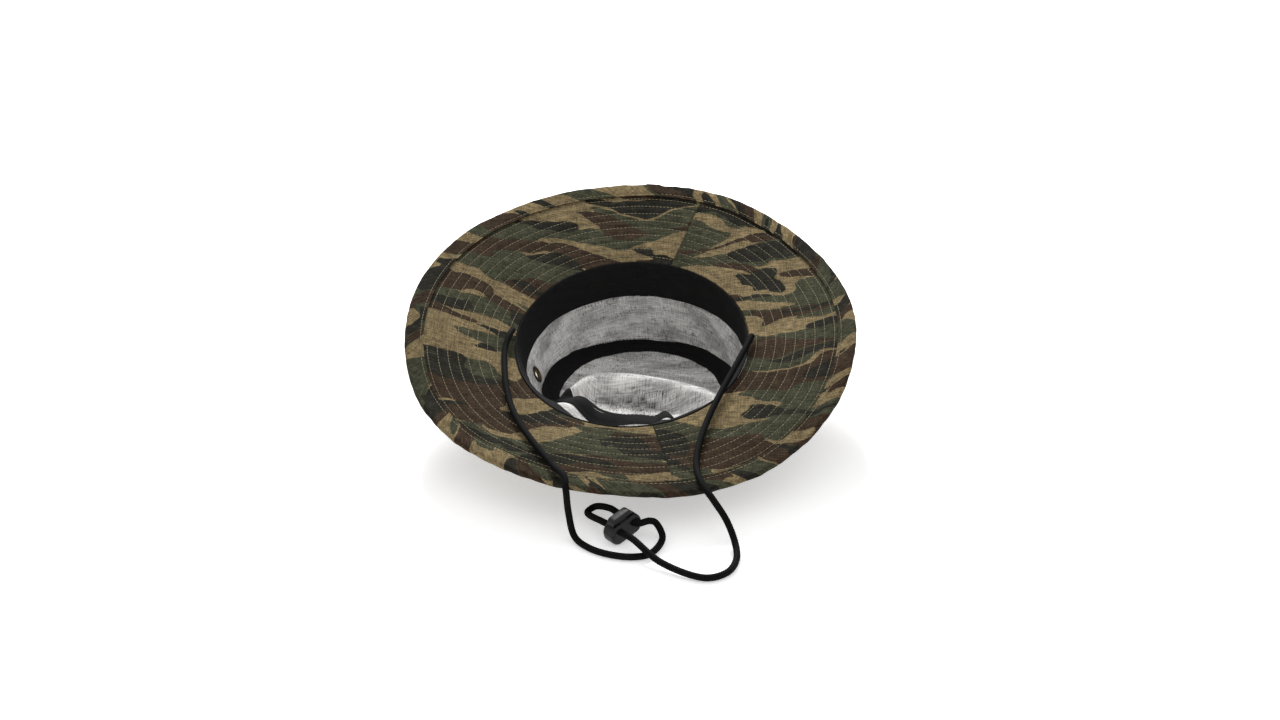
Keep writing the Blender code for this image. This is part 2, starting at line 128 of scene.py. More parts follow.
# Chin cord and cord lock.
CORD = 4.5 * MM
LOCK_CENTRE = np.array([8.3, -179.0, 9.55]) * MM
LOCK_HEADING = math.radians(-45.0)
LOCK_TILT = math.radians(16.0)
LOCK_LENGTH = 25.5 * MM
LOCK_DEPTH = 11 * MM
LOCK_HEIGHT = 14 * MM
LOCK_HOLE = 5.2 * MM
LOCK_HOLE_SPACING = 11.2 * MM
LOCK_HOLE_HEIGHT = 9.8 * MM
LOCK_CORNER = 6.2 * MM
LOCK_ROUNDING = 2.2 * MM
BUTTON_TOP = 18.5 * MM
LOCK_TRAVEL = 2.5 * MM
POCKET_LENGTH = 17.4 * MM
POCKET_DEPTH = 6.8 * MM
POCKET_FLOOR = 1.0 * MM
PLUNGER_BASE = 6.2 * MM
SPRING_RADIUS = 2.4 * MM
SPRING_WIRE = 0.45 * MM
SPRING_COILS = 3.5

CORD_STEP = 0.38 * MM

# Floor and light; a lamp is its name, place, size and power.
FLOOR_REACH = 40.0
FLOOR_GLOW = 0.42
WORLD_LIGHT = 0.72
LAMPS = (("key", (-0.3, 1.35, 1.2), 0.6, 42.0), ("fill", (0.7, -0.9, 1.5), 1.2, 1.5))

# Turns that a row of stitches is laid through.
ROW_TURNS = np.arange(0, 360.2, 0.5)

# The chin cord's route, in millimetres.
CORD_ROUTE = (
    (-89.1, 2.4, 63.7), (-89.9, -7.5, 64.4), (-91.2, -22.9, 59.2), (-81.6, -73.3, 48.6),
    (-69.6, -103.6, 43.6), (-40.1, -152.7, 38.5), (-30.9, -166.7, 37.9), (-28.8, -175.0, 33.0),
    (-27.0, -177.6, 17.5), (-22.4, -185.0, 4.6), (-12.0, -195.0, 2.6), (3.5, -202.3, 2.6),
    (18.0, -203.4, 2.6), (28.0, -198.6, 2.6), (34.6, -181.0, 4.6), (29.2, -172.4, 10.3),
    (25.3, -174.4, 12.4), (22.2, -178.0, 13.4), (18.9, -180.6, 13.8), (15.1, -179.3, 13.8),
    (6.3, -170.4, 13.8), (4.1, -168.3, 13.8), (-1.5, -161.0, 12.7), (-13.0, -150.4, 7.0),
    (-17.4, -152.4, 4.2), (-5.3, -173.8, 10.0), (-1.4, -178.1, 10.7), (7.5, -186.9, 10.7),
    (16.0, -194.4, 10.6), (36.0, -211.8, 4.6), (64.5, -224.0, 2.6), (77.6, -217.0, 2.6),
    (83.2, -201.0, 2.6), (81.8, -184.8, 5.0), (75.6, -173.8, 15.0), (66.2, -168.0, 27.0),
    (59.5, -158.5, 31.3), (53.5, -132.3, 33.7), (58.0, -89.7, 41.6), (86.0, 6.0, 64.4),
)


# Camera
def make_camera():
    back = Vector((math.sin(VIEW_AZIMUTH) * math.cos(VIEW_ELEVATION),
                   -math.cos(VIEW_AZIMUTH) * math.cos(VIEW_ELEVATION),
                   math.sin(VIEW_ELEVATION)))
    right = Vector((math.cos(VIEW_AZIMUTH), math.sin(VIEW_AZIMUTH), 0.0))
    turn = Matrix((right, back.cross(right), back)).transposed().to_4x4()
    data = bpy.data.cameras.new("camera")
    data.sensor_width = 36.0
    data.lens = VIEW_LENS
    data.shift_x, data.shift_y = VIEW_SHIFT
    camera = bpy.data.objects.new("camera", data)
    camera.matrix_world = Matrix.Translation(VIEW_TARGET + back * VIEW_DISTANCE) @ turn
    bpy.context.collection.objects.link(camera)
    bpy.context.scene.camera = camera


# Small tools for arrays of points
def unit(vectors):
    return vectors / np.linalg.norm(vectors, axis=-1, keepdims=True)


def dot(a, b):
    return np.sum(a * b, axis=-1)


def bump(turn, middle, half_span):
    """1 at the middle turn, falling smoothly to 0 at half_span degrees on either side."""
    away = np.abs((turn - middle + 180.0) % 360.0 - 180.0)
    return np.cos(np.pi / 2 * np.minimum(away / half_span, 1.0)) ** 2


def hill(value, middle, half_span):
    """The same hump along a plain line."""
    return np.cos(np.pi / 2 * np.minimum(np.abs(value - middle) / half_span, 1.0)) ** 2


def smooth(value):
    value = np.clip(value, 0.0, 1.0)
    return value * value * (3 - 2 * value)


def soft_noise(x, y, z, size):
    """Smooth noise of about -1 to 1, whose lumps are about size across."""
    x, y, z = np.broadcast_arrays(x, y, z)
    spots = zip((x / size).ravel(), (y / size).ravel(), (z / size).ravel())
    return np.array([noise.noise(spot) for spot in spots]).reshape(x.shape)


def round_noise(turn, scale, z):
    """The same noise along a circle, so that it meets itself after a full turn."""
    angle = np.radians(turn)
    return soft_noise(np.cos(angle) * scale, np.sin(angle) * scale, z, 1.0)


def travelled(points):
    """How far each point lies along a line of points."""
    return np.concatenate([[0.0], np.cumsum(np.linalg.norm(np.diff(points, axis=0), axis=-1))])


def humps(turn, parts):
    """The sum of several bumps, each given as its height, middle turn and half span."""
    return sum(height * bump(turn, middle, span) for height, middle, span in parts)


def grid(turns, stations):
    return np.meshgrid(np.asarray(turns, float), np.asarray(stations, float), indexing="ij")


# The opening and the brim
ACROSS = np.array([1.0, 0.0, 0.0])
ALONG = np.array([0.0, math.cos(OPENING_TILT), math.sin(OPENING_TILT)])
OPENING_NORMAL = np.array([0.0, -math.sin(OPENING_TILT), math.cos(OPENING_TILT)])


def opening_point(turn):
    angle = np.radians(turn)[..., None]
    across = ACROSS * (HEAD_WIDTH / 2 * np.cos(angle))
    return OPENING_CENTRE + across + ALONG * (HEAD_LENGTH / 2 * np.sin(angle))


def opening_outward(turn):
    angle = np.radians(turn)[..., None]
    return unit(ACROSS * (np.cos(angle) / HEAD_WIDTH) + ALONG * (np.sin(angle) / HEAD_LENGTH))


def brim_slope(turn):
    angle = np.radians(turn)
    slope = sum(c * np.cos(n * angle) + s * np.sin(n * angle)
                for n, (c, s) in enumerate(BRIM_SLOPE_WAVES))
    return np.radians(slope + humps(turn, BRIM_DROOPS))


def brim_frame(turn):
    """The directions out along the brim and up from it."""
    slope = brim_slope(turn)[..., None]
    outward = opening_outward(turn)
    along = outward * np.cos(slope) + OPENING_NORMAL * np.sin(slope)
    above = OPENING_NORMAL * np.cos(slope) - outward * np.sin(slope)
    return along, above


def brim_ripple(turn, out):
    """Ripples of the whole brim: long waves that grow towards the edge, and small dents."""
    angle = np.radians(turn)
    waves = 0.45 * np.sin(5 * angle + 0.6) + 0.3 * np.sin(9 * angle + 2.1)
    waves += 0.22 * np.sin(14 * angle + 4.0) + 0.15 * np.sin(23 * angle + 1.2)
    x, y = (86 * MM + out) * np.cos(angle), (97 * MM + out) * np.sin(angle)
    dents = 0.55 * soft_noise(x, y, 0.0, 30 * MM) + 0.25 * soft_noise(x, y, 7.0, 11 * MM)
    near_opening = smooth((out - 2 * MM) / (12 * MM))
    return MM * (waves * (out / BRIM_WIDTH) ** 1.6 + dents * near_opening)


def brim_point(turn, out, lift=0.0):
    """A point on the brim: out is measured from the opening, lift up from its middle layer."""
    turn, out, lift = np.broadcast_arrays(np.asarray(turn, float), out, lift)
    along, above = brim_frame(turn)
    sag = OPENING_SAG * (1 - out / BRIM_WIDTH)
    trim, most, span = BRIM_TRIM
    reach = out * (1 - trim * bump(turn, most, span))
    middle = opening_point(turn) + along * reach[..., None] - UP * sag[..., None]
    return middle + above * (lift + brim_ripple(turn, out))[..., None]


def quilting(out):
    """How far a ply's face rises between two rows of stitches."""
    rows = (out - FIRST_ROW) / ROW_PITCH
    puff = np.abs(np.sin(np.pi * rows)) ** 0.65
    puff = np.where(rows < 0, smooth(-rows / 0.5) * 0.4, puff)
    return QUILT_PUFF * np.where(rows > ROWS - 1, 0.0, puff)


# The crown
def seam_point(turn):
    """A point on the seam that joins the side wall to the crown top."""
    angle = np.radians(turn)
    return np.stack([
        SEAM_CENTRE[0] + SEAM_WIDTH / 2 * np.cos(angle),
        SEAM_CENTRE[1] + SEAM_LENGTH / 2 * np.sin(angle) + humps(turn, (FRONT_DENT, LEFT_DENT)),
        SEAM_HEIGHT + humps(turn, SEAM_LIFTS),
    ], axis=-1)


def wall_top(turn):
    return opening_point(turn) - UP * OPENING_SAG


def wall_middle(turn, down):
    """The side wall's middle surface; down is 0 at the opening and 1 at the seam."""
    high, low = wall_top(turn), seam_point(turn)
    tangent = np.cross(OPENING_NORMAL, opening_outward(turn))
    outward = unit(np.cross(low - high, tangent))
    bulge = (WALL_BULGE + BACK_BULGE * np.sin(np.radians(turn))) * np.sin(np.pi * down)
    depth, middle, span = FRONT_SLUMP
    slump = smooth(down / 0.84) * (1 - smooth((down - 0.84) / 0.2) / smooth(0.8))
    bulge = bulge + depth * bump(turn, middle, span) * slump
    return high + (low - high) * down[..., None] + outward * bulge[..., None]


def wall_folds(turn, down):
    """Soft folds of the side wall, and the hollow round the left rear eyelet; inward is plus."""
    folds = 1.5 * round_noise(turn, 3, down * 0.9) + 0.5 * round_noise(turn, 8, down * 2.5 + 5.0)
    hollow = 3.2 * bump(turn, 184.0, 28.0) * hill(down, 0.66, 0.34)
    return MM * (folds * np.sin(np.pi * np.clip(down, 0, 1)) ** 0.8 + hollow)


def wall_point(turn, down, inset=0.0):
    """A point at a distance inside (or, below 0, outside) the wall's middle surface."""
    turn, down, inset = np.broadcast_arrays(np.asarray(turn, float), down, inset)
    step = 0.01
    around = wall_middle(turn + 50 * step, down) - wall_middle(turn - 50 * step, down)
    downward = wall_middle(turn, down + step) - wall_middle(turn, down - step)
    inward = unit(np.cross(around, downward))
    return wall_middle(turn, down) + inward * (inset + wall_folds(turn, down))[..., None]


def wall_height(turn):
    return np.linalg.norm(seam_point(turn) - wall_top(turn), axis=-1)


def wall_from_seam(turn, distance, inset=0.0):
    """A point of the wall at a distance up from the crown seam."""
    return wall_point(turn, 1.0 - distance / wall_height(turn), inset)


def ridge(x, y):
    """Height of the buckled fold that crosses the crown top from side to side."""
    from_middle = (x - RIDGE_CREST[0]) / MM
    past_left_end = np.maximum(0.0, (-27.5 * MM - x) / MM)
    crest = RIDGE_CREST[1] - (0.0042 * from_middle ** 2 + 0.055 * past_left_end ** 2) * MM
    reach = np.where(y > crest, RIDGE_BACK, RIDGE_FRONT)
    away = np.minimum(np.abs(y - crest) / reach, 1.0)
    return RIDGE_HEIGHT * np.cos(np.pi / 2 * away) ** 2


def top_creases(x, y):
    """Small creases of the crown top, only ever upwards, running mostly from side to side."""
    long_creases = soft_noise(x * 0.45, y, 3.0, 13 * MM)
    small = soft_noise(x * 0.7, y, 9.0, 6 * MM)
    return MM * (1.3 * np.maximum(long_creases, 0.0) + 0.35 * np.maximum(small, 0.0))


def top_point(turn, share, lift=0.0):
    """A point on the crown top: share is 0 at its hub and 1 at the seam."""
    turn, share, lift = np.broadcast_arrays(np.asarray(turn, float), share, lift)
    rim = seam_point(turn)
    flat = TOP_HUB + (rim[..., :2] - TOP_HUB) * share[..., None]
    x, y = flat[..., 0], flat[..., 1]
    height = CLOTH / 2 + (rim[..., 2] - CLOTH / 2) * smooth((share - 0.72) / 0.28)
    height = height + (ridge(x, y) + top_creases(x, y)) * (1 - share ** 10)
    return np.stack([x, y, height + lift], axis=-1)


def share_from_seam(turn, distance):
    return 1.0 - distance / np.linalg.norm(seam_point(turn)[..., :2] - TOP_HUB, axis=-1)


# Meshes
def linked(name, points, faces, finishes):
    """A new mesh object in the scene."""
    mesh = bpy.data.meshes.new(name)
    mesh.from_pydata(points, [], faces)
    for finish in finishes:
        mesh.materials.append(finish)
    thing = bpy.data.objects.new(name, mesh)
    bpy.context.collection.objects.link(thing)
    return thing


def make_object(name, points, quads, finishes, face_finish=None, cloth=None, sharp=40.0):
    """A mesh object of quads that face outwards; cloth is each point's place on the flat cloth."""
    points, quads = np.asarray(points), np.asarray(quads)
    a, b, c, d = (points[quads[:, k]] for k in (0, 1, 2, -1))
    if np.sum(dot(a, np.cross(b, c)) + dot(a, np.cross(c, d))) < 0:
        quads = quads[:, ::-1]
    thing = linked(name, points.tolist(), quads.tolist(), finishes)
    mesh = thing.data
    if face_finish is not None:
        mesh.polygons.foreach_set("material_index", np.asarray(face_finish, np.int32))
    if cloth is not None:
        place = mesh.attributes.new("cloth", "FLOAT_VECTOR", "POINT")
        place.data.foreach_set("vector", np.asarray(cloth, np.float32).ravel())
    mesh.shade_smooth()
    mesh.set_sharp_from_angle(angle=math.radians(sharp))
    return thing


def grid_quads(rows, columns, start, wrap):
    """Quads over a grid of points, whose rows close on themselves where wrap is set."""
    r, c = np.meshgrid(np.arange(rows if wrap else rows - 1), np.arange(columns - 1), indexing="ij")
    after = (r + 1) % rows
    return start + np.stack([r * columns + c, r * columns + c + 1,
                             after * columns + c + 1, after * columns + c], axis=-1).reshape(-1, 4)


def border_quads(path, shift, wrap):
    """Quads between a path of points on one side of a cloth and the same path on its other side."""
    following = np.roll(path, -1)
    if not wrap:
        path, following = path[:-1], following[:-1]
    return np.stack([path, following, following + shift, path + shift], axis=-1)


def shell(name, under, over, finishes, flat, wrap=True, holes=None):
    """A closed piece of cloth between two grids of points of rows by columns.

    finishes are those of the under and the over side; flat gives each point's place on the cloth.
    holes marks quads of the grid that are cut out of both sides.
    """
    rows, columns = under.shape[:2]
    count = rows * columns
    lower = grid_quads(rows, columns, 0, wrap)
    kept = np.ones(len(lower), bool) if holes is None else ~holes.ravel()
    upper = lower[:, ::-1] + count
    index = np.arange(count).reshape(rows, columns)
    borders = [border_quads(index[:, 0], count, wrap), border_quads(index[::-1, -1], count, wrap)]
    if not wrap:
        borders += [border_quads(index[-1, :], count, False), border_quads(index[0, ::-1], count, False)]
    sides = [quads[:, ::-1] for quads in borders]
    if holes is not None:
        sides.append(hole_sides(holes, index, count))
    quads = np.concatenate([lower[kept], upper[kept], *sides])
    side_count = sum(len(part) for part in sides)
    kinds = np.concatenate([np.zeros(kept.sum()), np.ones(kept.sum()), np.zeros(side_count)])
    points = np.concatenate([under.reshape(-1, 3), over.reshape(-1, 3)])
    places = np.tile(flat.reshape(-1, 2), (2, 1))
    cloth = np.concatenate([places, np.repeat([[0.0], [1.0]], count, axis=0)], axis=1)
    if len(finishes) == 1:
        kinds[:] = 0
    return make_object(name, points, quads, finishes, kinds, cloth)


def hole_sides(holes, index, count):
    """Quads that line a hole through both sides of a cloth."""
    sides = []
    rows = len(index)
    for r, c in zip(*np.nonzero(holes)):
        after = (r + 1) % rows
        a, b = index[r, c], index[r, c + 1]
        d, e = index[after, c], index[after, c + 1]
        for dr, dc, near, far in ((-1, 0, a, b), (1, 0, e, d), (0, -1, d, a), (0, 1, b, e)):
            if not holes[(r + dr) % rows, c + dc]:
                sides.append((near, far, far + count, near + count))
    return np.array(sides)


def tube(name, path, radius, sides, finish):
    """A round tube along a path; radius is a number, or one for each point of its grid."""
    path = np.asarray(path, float)
    along = unit(np.gradient(path, axis=0))
    first = unit(np.cross(along[0], UP + 0.1))
    frames = [first]
    for before, after in zip(along, along[1:]):
        moved = frames[-1] - after * np.dot(frames[-1], after)
        frames.append(moved / np.linalg.norm(moved))
    across = np.array(frames)
    over = np.cross(along, across)
    angle = np.linspace(0, 2 * np.pi, sides, endpoint=False)
    ray = across[:, None] * np.cos(angle)[None, :, None] + over[:, None] * np.sin(angle)[None, :, None]
    radius = np.broadcast_to(radius, (len(path), sides))
    points = path[:, None] + ray * radius[..., None]
    index = np.arange(len(path) * sides).reshape(len(path), sides)
    index = np.concatenate([index, index[:, :1]], axis=1)
    corners = [index[:-1, :-1], index[:-1, 1:], index[1:, 1:], index[1:, :-1]]
    quads = np.stack(corners, axis=-1).reshape(-1, 4)
    tips = np.array([path[0] - along[0] * radius[0].mean() * 0.5,
                     path[-1] + along[-1] * radius[-1].mean() * 0.5])
    points = np.concatenate([points.reshape(-1, 3), tips])
    caps = [(index[0, k + 1], index[0, k], len(points) - 2) for k in range(sides)]
    caps += [(index[-1, k], index[-1, k + 1], len(points) - 1) for k in range(sides)]
    thing = linked(name, points.tolist(), quads.tolist() + caps, [finish])
    thing.data.shade_smooth()
    return thing


def threads(name, starts, ends, ups, radius, finish):
    """Short sewn stitches: one small rounded thread from each start to its end."""
    shares = np.array([0.0, 0.12, 0.5, 0.88, 1.0])
    widths = np.array([0.45, 0.9, 1.0, 0.9, 0.45]) * radius
    heights = np.array([-0.6, 0.1, 0.55, 0.1, -0.6]) * radius
    along, ups = unit(ends - starts), unit(ups)
    side = unit(np.cross(along, ups))
    middle = starts[:, None] + (ends - starts)[:, None] * shares[None, :, None]
    middle = middle + ups[:, None] * heights[None, :, None]
    angle = np.linspace(0, 2 * np.pi, 6, endpoint=False)
    ray = side[:, None] * np.cos(angle)[None, :, None] + ups[:, None] * np.sin(angle)[None, :, None]
    points = middle[:, :, None] + ray[:, None] * widths[None, :, None, None]
    pattern = []
    for section in range(4):
        for corner in range(6):
            near, after = section * 6 + corner, section * 6 + (corner + 1) % 6
            pattern.append((near, after, after + 6, near + 6))
    pattern += [(3, 2, 1, 0), (0, 5, 4, 3), (24, 25, 26, 27), (27, 28, 29, 24)]
    quads = (np.array(pattern)[None] + 30 * np.arange(len(starts))[:, None, None]).reshape(-1, 4)
    return make_object(name, points.reshape(-1, 3), quads, [finish], sharp=80.0)


def along_line(points, pitch, share):
    """Fractional places on a line of points where stitches of a pitch start and end."""
    lengths = travelled(points)
    starts = np.arange(0.2 * pitch, lengths[-1] - pitch, pitch)
    place = np.arange(len(points), dtype=float)
    return np.interp(starts, lengths, place), np.interp(starts + pitch * share, lengths, place)


def stitches_on(turns, surface, up, pitch=2.9 * MM, share=0.8):
    """Starts, ends and up directions of the stitches of a row: surface and up are functions."""
    first, last = along_line(surface(turns), pitch, share)
    place = np.arange(len(turns), dtype=float)
    start_turns, end_turns = np.interp(first, place, turns), np.interp(last, place, turns)
    return surface(start_turns), surface(end_turns), up((start_turns + end_turns) / 2)


def sewn(name, rows, radius, thread):
    """Several rows of stitches as one piece."""
    finish_piece(threads(name, *(np.concatenate(part) for part in zip(*rows)), radius, thread))


# Materials
class Finish:
    """A material in the making. A value that is a socket is linked, any other is set."""

    def __init__(self, name, roughness=0.9, metallic=0.0, shine=0.5):
        self.material = bpy.data.materials.new(name)
        self.material.use_nodes = True
        self.tree = self.material.node_tree
        self.shader = self.tree.nodes["Principled BSDF"]
        self.shader.inputs["Roughness"].default_value = roughness
        self.shader.inputs["Metallic"].default_value = metallic
        self.shader.inputs["Specular IOR Level"].default_value = shine

    def put(self, socket, value):
        if isinstance(value, bpy.types.NodeSocket):
            self.tree.links.new(value, socket)
        else:
            socket.default_value = value

    def add(self, kind, output, values, **settings):
        node = self.tree.nodes.new("ShaderNode" + kind)
        for key, value in settings.items():
            setattr(node, key, value)
        for key, value in values.items():
            self.put(node.inputs[key], value)
        return node.outputs[output]

    def set(self, name, value):
        self.put(self.shader.inputs[name], value)

    def math(self, operation, a, b=0.0):
        return self.add("Math", 0, {0: a, 1: b}, operation=operation)

    def cloth(self):
        return self.add("Attribute", "Vector", {}, attribute_name="cloth")

    def scaled(self, vector, sizes, shift=(0.0, 0.0, 0.0)):
        """A place in units of sizes, in metres, moved by shift units."""
        scale = tuple(1.0 / size if size else 0.0 for size in sizes)
        return self.add("VectorMath", 0, {0: vector, 1: scale, 2: shift}, operation="MULTIPLY_ADD")

    def noise(self, vector, detail=2.0, roughness=0.5, distortion=0.0, dimensions="2D"):
        values = {"Vector": vector, "Scale": 1.0, "Detail": detail, "Roughness": roughness,
                  "Distortion": distortion}
        return self.add("TexNoise", 0, values, noise_dimensions=dimensions)

    def step(self, value, low, high, result=(0.0, 1.0)):
        values = {"Value": value, "From Min": low, "From Max": high, "To Min": result[0], "To Max": result[1]}
        return self.add("MapRange", 0, values, interpolation_type="SMOOTHSTEP")

    def mix(self, factor, a, b, blend_type="MIX"):
        return self.add("Mix", 2, {0: factor, 6: a, 7: b}, data_type="RGBA", blend_type=blend_type)

    def bumped(self, height, distance):
        self.set("Normal", self.add("Bump", 0, {"Height": height, "Distance": distance, "Strength": 1.0}))

    def shaded(self, colour, shade):
        """The colour times a number."""
        shade = self.add("CombineColor", 0, {0: shade, 1: shade, 2: shade})
        return self.mix(1.0, colour, shade, "MULTIPLY")

    def plus(self, a, b):
        return self.math("ADD", a, b)

    def times(self, a, b):
        return self.math("MULTIPLY", a, b)

    def grain(self, size, detail, roughness=0.5, distortion=0.0):
        """Noise in the object's own space, for pieces that aren't cut from flat cloth."""
        sizes = size if isinstance(size, tuple) else (size, size, size)
        place = self.scaled(self.add("TexCoord", "Object", {}), sizes)
        return self.noise(place, detail, roughness, distortion, "3D")

    def weave(self, cloth, pitch):
        """Height of a plain weave: warp and weft threads that pass over each other in turn."""
        place = self.add("SeparateXYZ", 0, {0: self.scaled(cloth, (pitch / math.pi, pitch / math.pi, 0.0))})
        u, v = place, place.node.outputs[1]
        return self.times(self.math("SINE", u), self.math("SINE", v))


def srgb(red, green, blue, alpha=1.0):
    """A linear colour from values of 0 to 255 as a screen shows them."""
    def linear(value):
        value /= 255.0
        return value / 12.92 if value <= 0.04045 else ((value + 0.055) / 1.055) ** 2.4
    return (linear(red), linear(green), linear(blue), alpha)


def grey(value):
    return (value, value, value, 1.0)


TAN = srgb(122, 107, 78)
GREEN = srgb(62, 63, 48)
BROWN = srgb(58, 46, 35)
BLACK = srgb(38, 37, 31)


def camouflage(finish, cloth):
    """The printed pattern: its colour, and how dark the print is, from 0 to 1."""
    def swayed(place, size, amount, shift):
        """The place moved to and fro by smooth noise, which bends what is drawn over it."""
        sway = finish.add("TexNoise", 1, {
            "Vector": finish.scaled(place, size, shift), "Scale": 1.0, "Detail": 0.5, "Roughness": 0.4,
        }, noise_dimensions="2D")
        return finish.add("VectorMath", 0, {0: sway, 1: amount, 2: place}, operation="MULTIPLY_ADD")

    place = swayed(cloth, (60 * MM, 26 * MM, 0.0), (52 * MM, 30 * MM, 0.0), (2.0, 5.0, 0.0))
    place = swayed(place, (15 * MM, 8 * MM, 0.0), (9 * MM, 5.5 * MM, 0.0), (8.0, 1.0, 0.0))
    place = swayed(place, (1.4 * MM, 0.9 * MM, 0.0), (0.9 * MM, 0.5 * MM, 0.0), (3.0, 3.0, 0.0))

    def blobs(sizes, shift, threshold):
        field = finish.noise(finish.scaled(place, sizes, shift), 0.6, 0.35)
        return finish.step(field, threshold - 0.004, threshold + 0.004)

    green = blobs((84 * MM, 24 * MM, 0.0), (3.1, 8.7, 0.0), 0.52)
    brown = blobs((90 * MM, 26 * MM, 0.0), (21.3, 4.4, 0.0), 0.545)
    black = blobs((66 * MM, 17 * MM, 0.0), (40.9, 31.5, 0.0), 0.635)
    colour = finish.mix(green, TAN, GREEN)
    colour = finish.mix(brown, colour, BROWN)
    colour = finish.mix(black, colour, BLACK)
    dark = finish.math("MAXIMUM", finish.math("MAXIMUM", green, brown), black)
    return colour, dark


def yarns(finish, cloth, warp=7 * MM, pitch=0.55 * MM):
    """Uneven yarns: two fields of streaks, one along each direction of the weave."""
    weft = finish.noise(finish.scaled(cloth, (warp, pitch, 0.0)), 3.0, 0.65)
    ends = finish.noise(finish.scaled(cloth, (pitch, warp, 0.0), (5.0, 9.0, 0.0)), 3.0, 0.65)
    return weft, ends


def printed_cotton():
    finish = Finish("camouflage_print", 0.92, shine=0.06)
    cloth = finish.cloth()
    colour, _ = camouflage(finish, cloth)
    weft, ends = yarns(finish, cloth, 9 * MM, 1.0 * MM)
    shade = finish.plus(finish.step(weft, 0.3, 0.72, (0.55, 1.32)),
                        finish.step(ends, 0.32, 0.72, (-0.24, 0.26)))
    worn = finish.noise(finish.scaled(cloth, (30 * MM, 22 * MM, 0.0), (2.0, 2.0, 0.0)), 3.0, 0.6)
    shade = finish.times(shade, finish.step(worn, 0.3, 0.7, (0.88, 1.1)))
    colour = finish.shaded(colour, shade)
    flecks = finish.times(finish.step(weft, 0.62, 0.76), 0.16)
    colour = finish.mix(flecks, colour, srgb(134, 122, 96))
    finish.set("Base Color", colour)
    height = finish.plus(finish.weave(cloth, 0.5 * MM), finish.times(weft, 1.6))
    finish.bumped(height, 0.09 * MM)
    return finish.material


def reverse_cotton():
    """The unprinted side: grey yarns, dark flecks, the print showing through faintly, and painted shade and
    light on the crown top.
    """
    finish = Finish("cotton_reverse", 0.92, shine=0.08)
    cloth = finish.cloth()
    _, dark = camouflage(finish, cloth)
    weft, ends = yarns(finish, cloth, 12 * MM, 0.95 * MM)
    ghost = finish.noise(finish.scaled(cloth, (34 * MM, 16 * MM, 0.0), (7.0, 1.0, 0.0)), 3.0, 0.55)
    ghost = finish.plus(finish.step(ghost, 0.36, 0.64, (-0.02, 0.46)), finish.times(dark, 0.1))
    dashes = finish.noise(finish.scaled(cloth, (0.85 * MM, 5 * MM, 0.0), (1.0, 6.0, 0.0)), 2.0, 0.6)
    slubs = finish.noise(finish.scaled(cloth, (9 * MM, 0.85 * MM, 0.0), (4.0, 2.0, 0.0)), 2.0, 0.6)
    patchy = finish.noise(finish.scaled(cloth, (22 * MM, 10 * MM, 0.0)), 2.0)
    patchy = finish.step(patchy, 0.38, 0.62, (0.2, 1.0))
    # Painted shade: the crown top's attribute makes the valley in front of its ridge a darker grey with more
    # dark flecks; painted light makes the crest paler.
    painted_valley_shade = finish.add("Attribute", "Fac", {}, attribute_name="painted_valley_shade")
    patchy = finish.plus(patchy, painted_valley_shade)
    ghost = finish.plus(ghost, finish.times(painted_valley_shade, 0.42))
    colour = finish.mix(ghost, srgb(247, 245, 242), srgb(104, 102, 101))
    flecks = finish.plus(finish.step(dashes, 0.52, 0.7, (0.0, 0.62)),
                         finish.step(slubs, 0.54, 0.72, (0.0, 0.45)))
    colour = finish.mix(finish.times(flecks, patchy), colour, srgb(66, 64, 64))
    shade = finish.plus(finish.step(weft, 0.32, 0.7, (0.8, 1.2)),
                        finish.step(ends, 0.32, 0.7, (-0.14, 0.16)))
    colour = finish.shaded(colour, shade)
    pale = finish.plus(finish.step(weft, 0.6, 0.74, (0.0, 0.6)), finish.step(ends, 0.62, 0.76, (0.0, 0.4)))
    colour = finish.mix(pale, colour, srgb(240, 239, 238))
    finish.set("Base Color", colour)
    height = finish.plus(finish.weave(cloth, 0.5 * MM), finish.plus(weft, ends))
    finish.bumped(height, 0.12 * MM)
    return finish.material


def black_twill():
    finish = Finish("black_twill", 0.85, shine=0.1)
    cloth = finish.cloth()
    weft, _ = yarns(finish, cloth, 12 * MM, 0.6 * MM)
    colour = finish.mix(finish.step(weft, 0.3, 0.75), grey(0.009), grey(0.016))
    lint = finish.noise(finish.scaled(cloth, (1.3 * MM, 0.8 * MM, 0.0), (8.0, 3.0, 0.0)), 2.0)
    colour = finish.mix(finish.step(lint, 0.74, 0.8, (0.0, 0.25)), colour, grey(0.05))
    finish.set("Base Color", colour)
    place = finish.add("SeparateXYZ", 0, {0: finish.scaled(cloth, (0.16 * MM, 0.16 * MM, 0.0))})
    ribs = finish.math("SINE", finish.plus(place, place.node.outputs[1]))
    finish.bumped(finish.plus(ribs, weft), 0.08 * MM)
    return finish.material


def interlining():
    finish = Finish("brim_stiffener", 0.95, shine=0.1)
    fibres = finish.noise(finish.scaled(finish.cloth(), (1.5 * MM, 1.5 * MM, 0.0)), 5.0, 0.7, 1.5)
    finish.set("Base Color", finish.mix(fibres, srgb(196, 192, 180), srgb(232, 229, 220)))
    finish.bumped(fibres, 0.1 * MM)
    return finish.material


def thread_finish(name, dull, bright):
    finish = Finish(name, 0.75, shine=0.15)
    twist = finish.grain(1.4 * MM, 2.0, 0.6)
    finish.set("Base Color", finish.mix(finish.step(twist, 0.3, 0.7), dull, bright))
    finish.bumped(twist, 0.05 * MM)
    return finish.material


def antique_brass():
    finish = Finish("antique_brass", 0.4, 1.0)
    tarnish = finish.grain(2.2 * MM, 4.0, 0.65, 0.6)
    finish.set("Base Color", finish.mix(finish.step(tarnish, 0.35, 0.68), srgb(46, 38, 27), srgb(112, 94, 66)))
    finish.set("Roughness", finish.step(tarnish, 0.3, 0.7, (0.52, 0.3)))
    finish.bumped(tarnish, 0.03 * MM)
    return finish.material


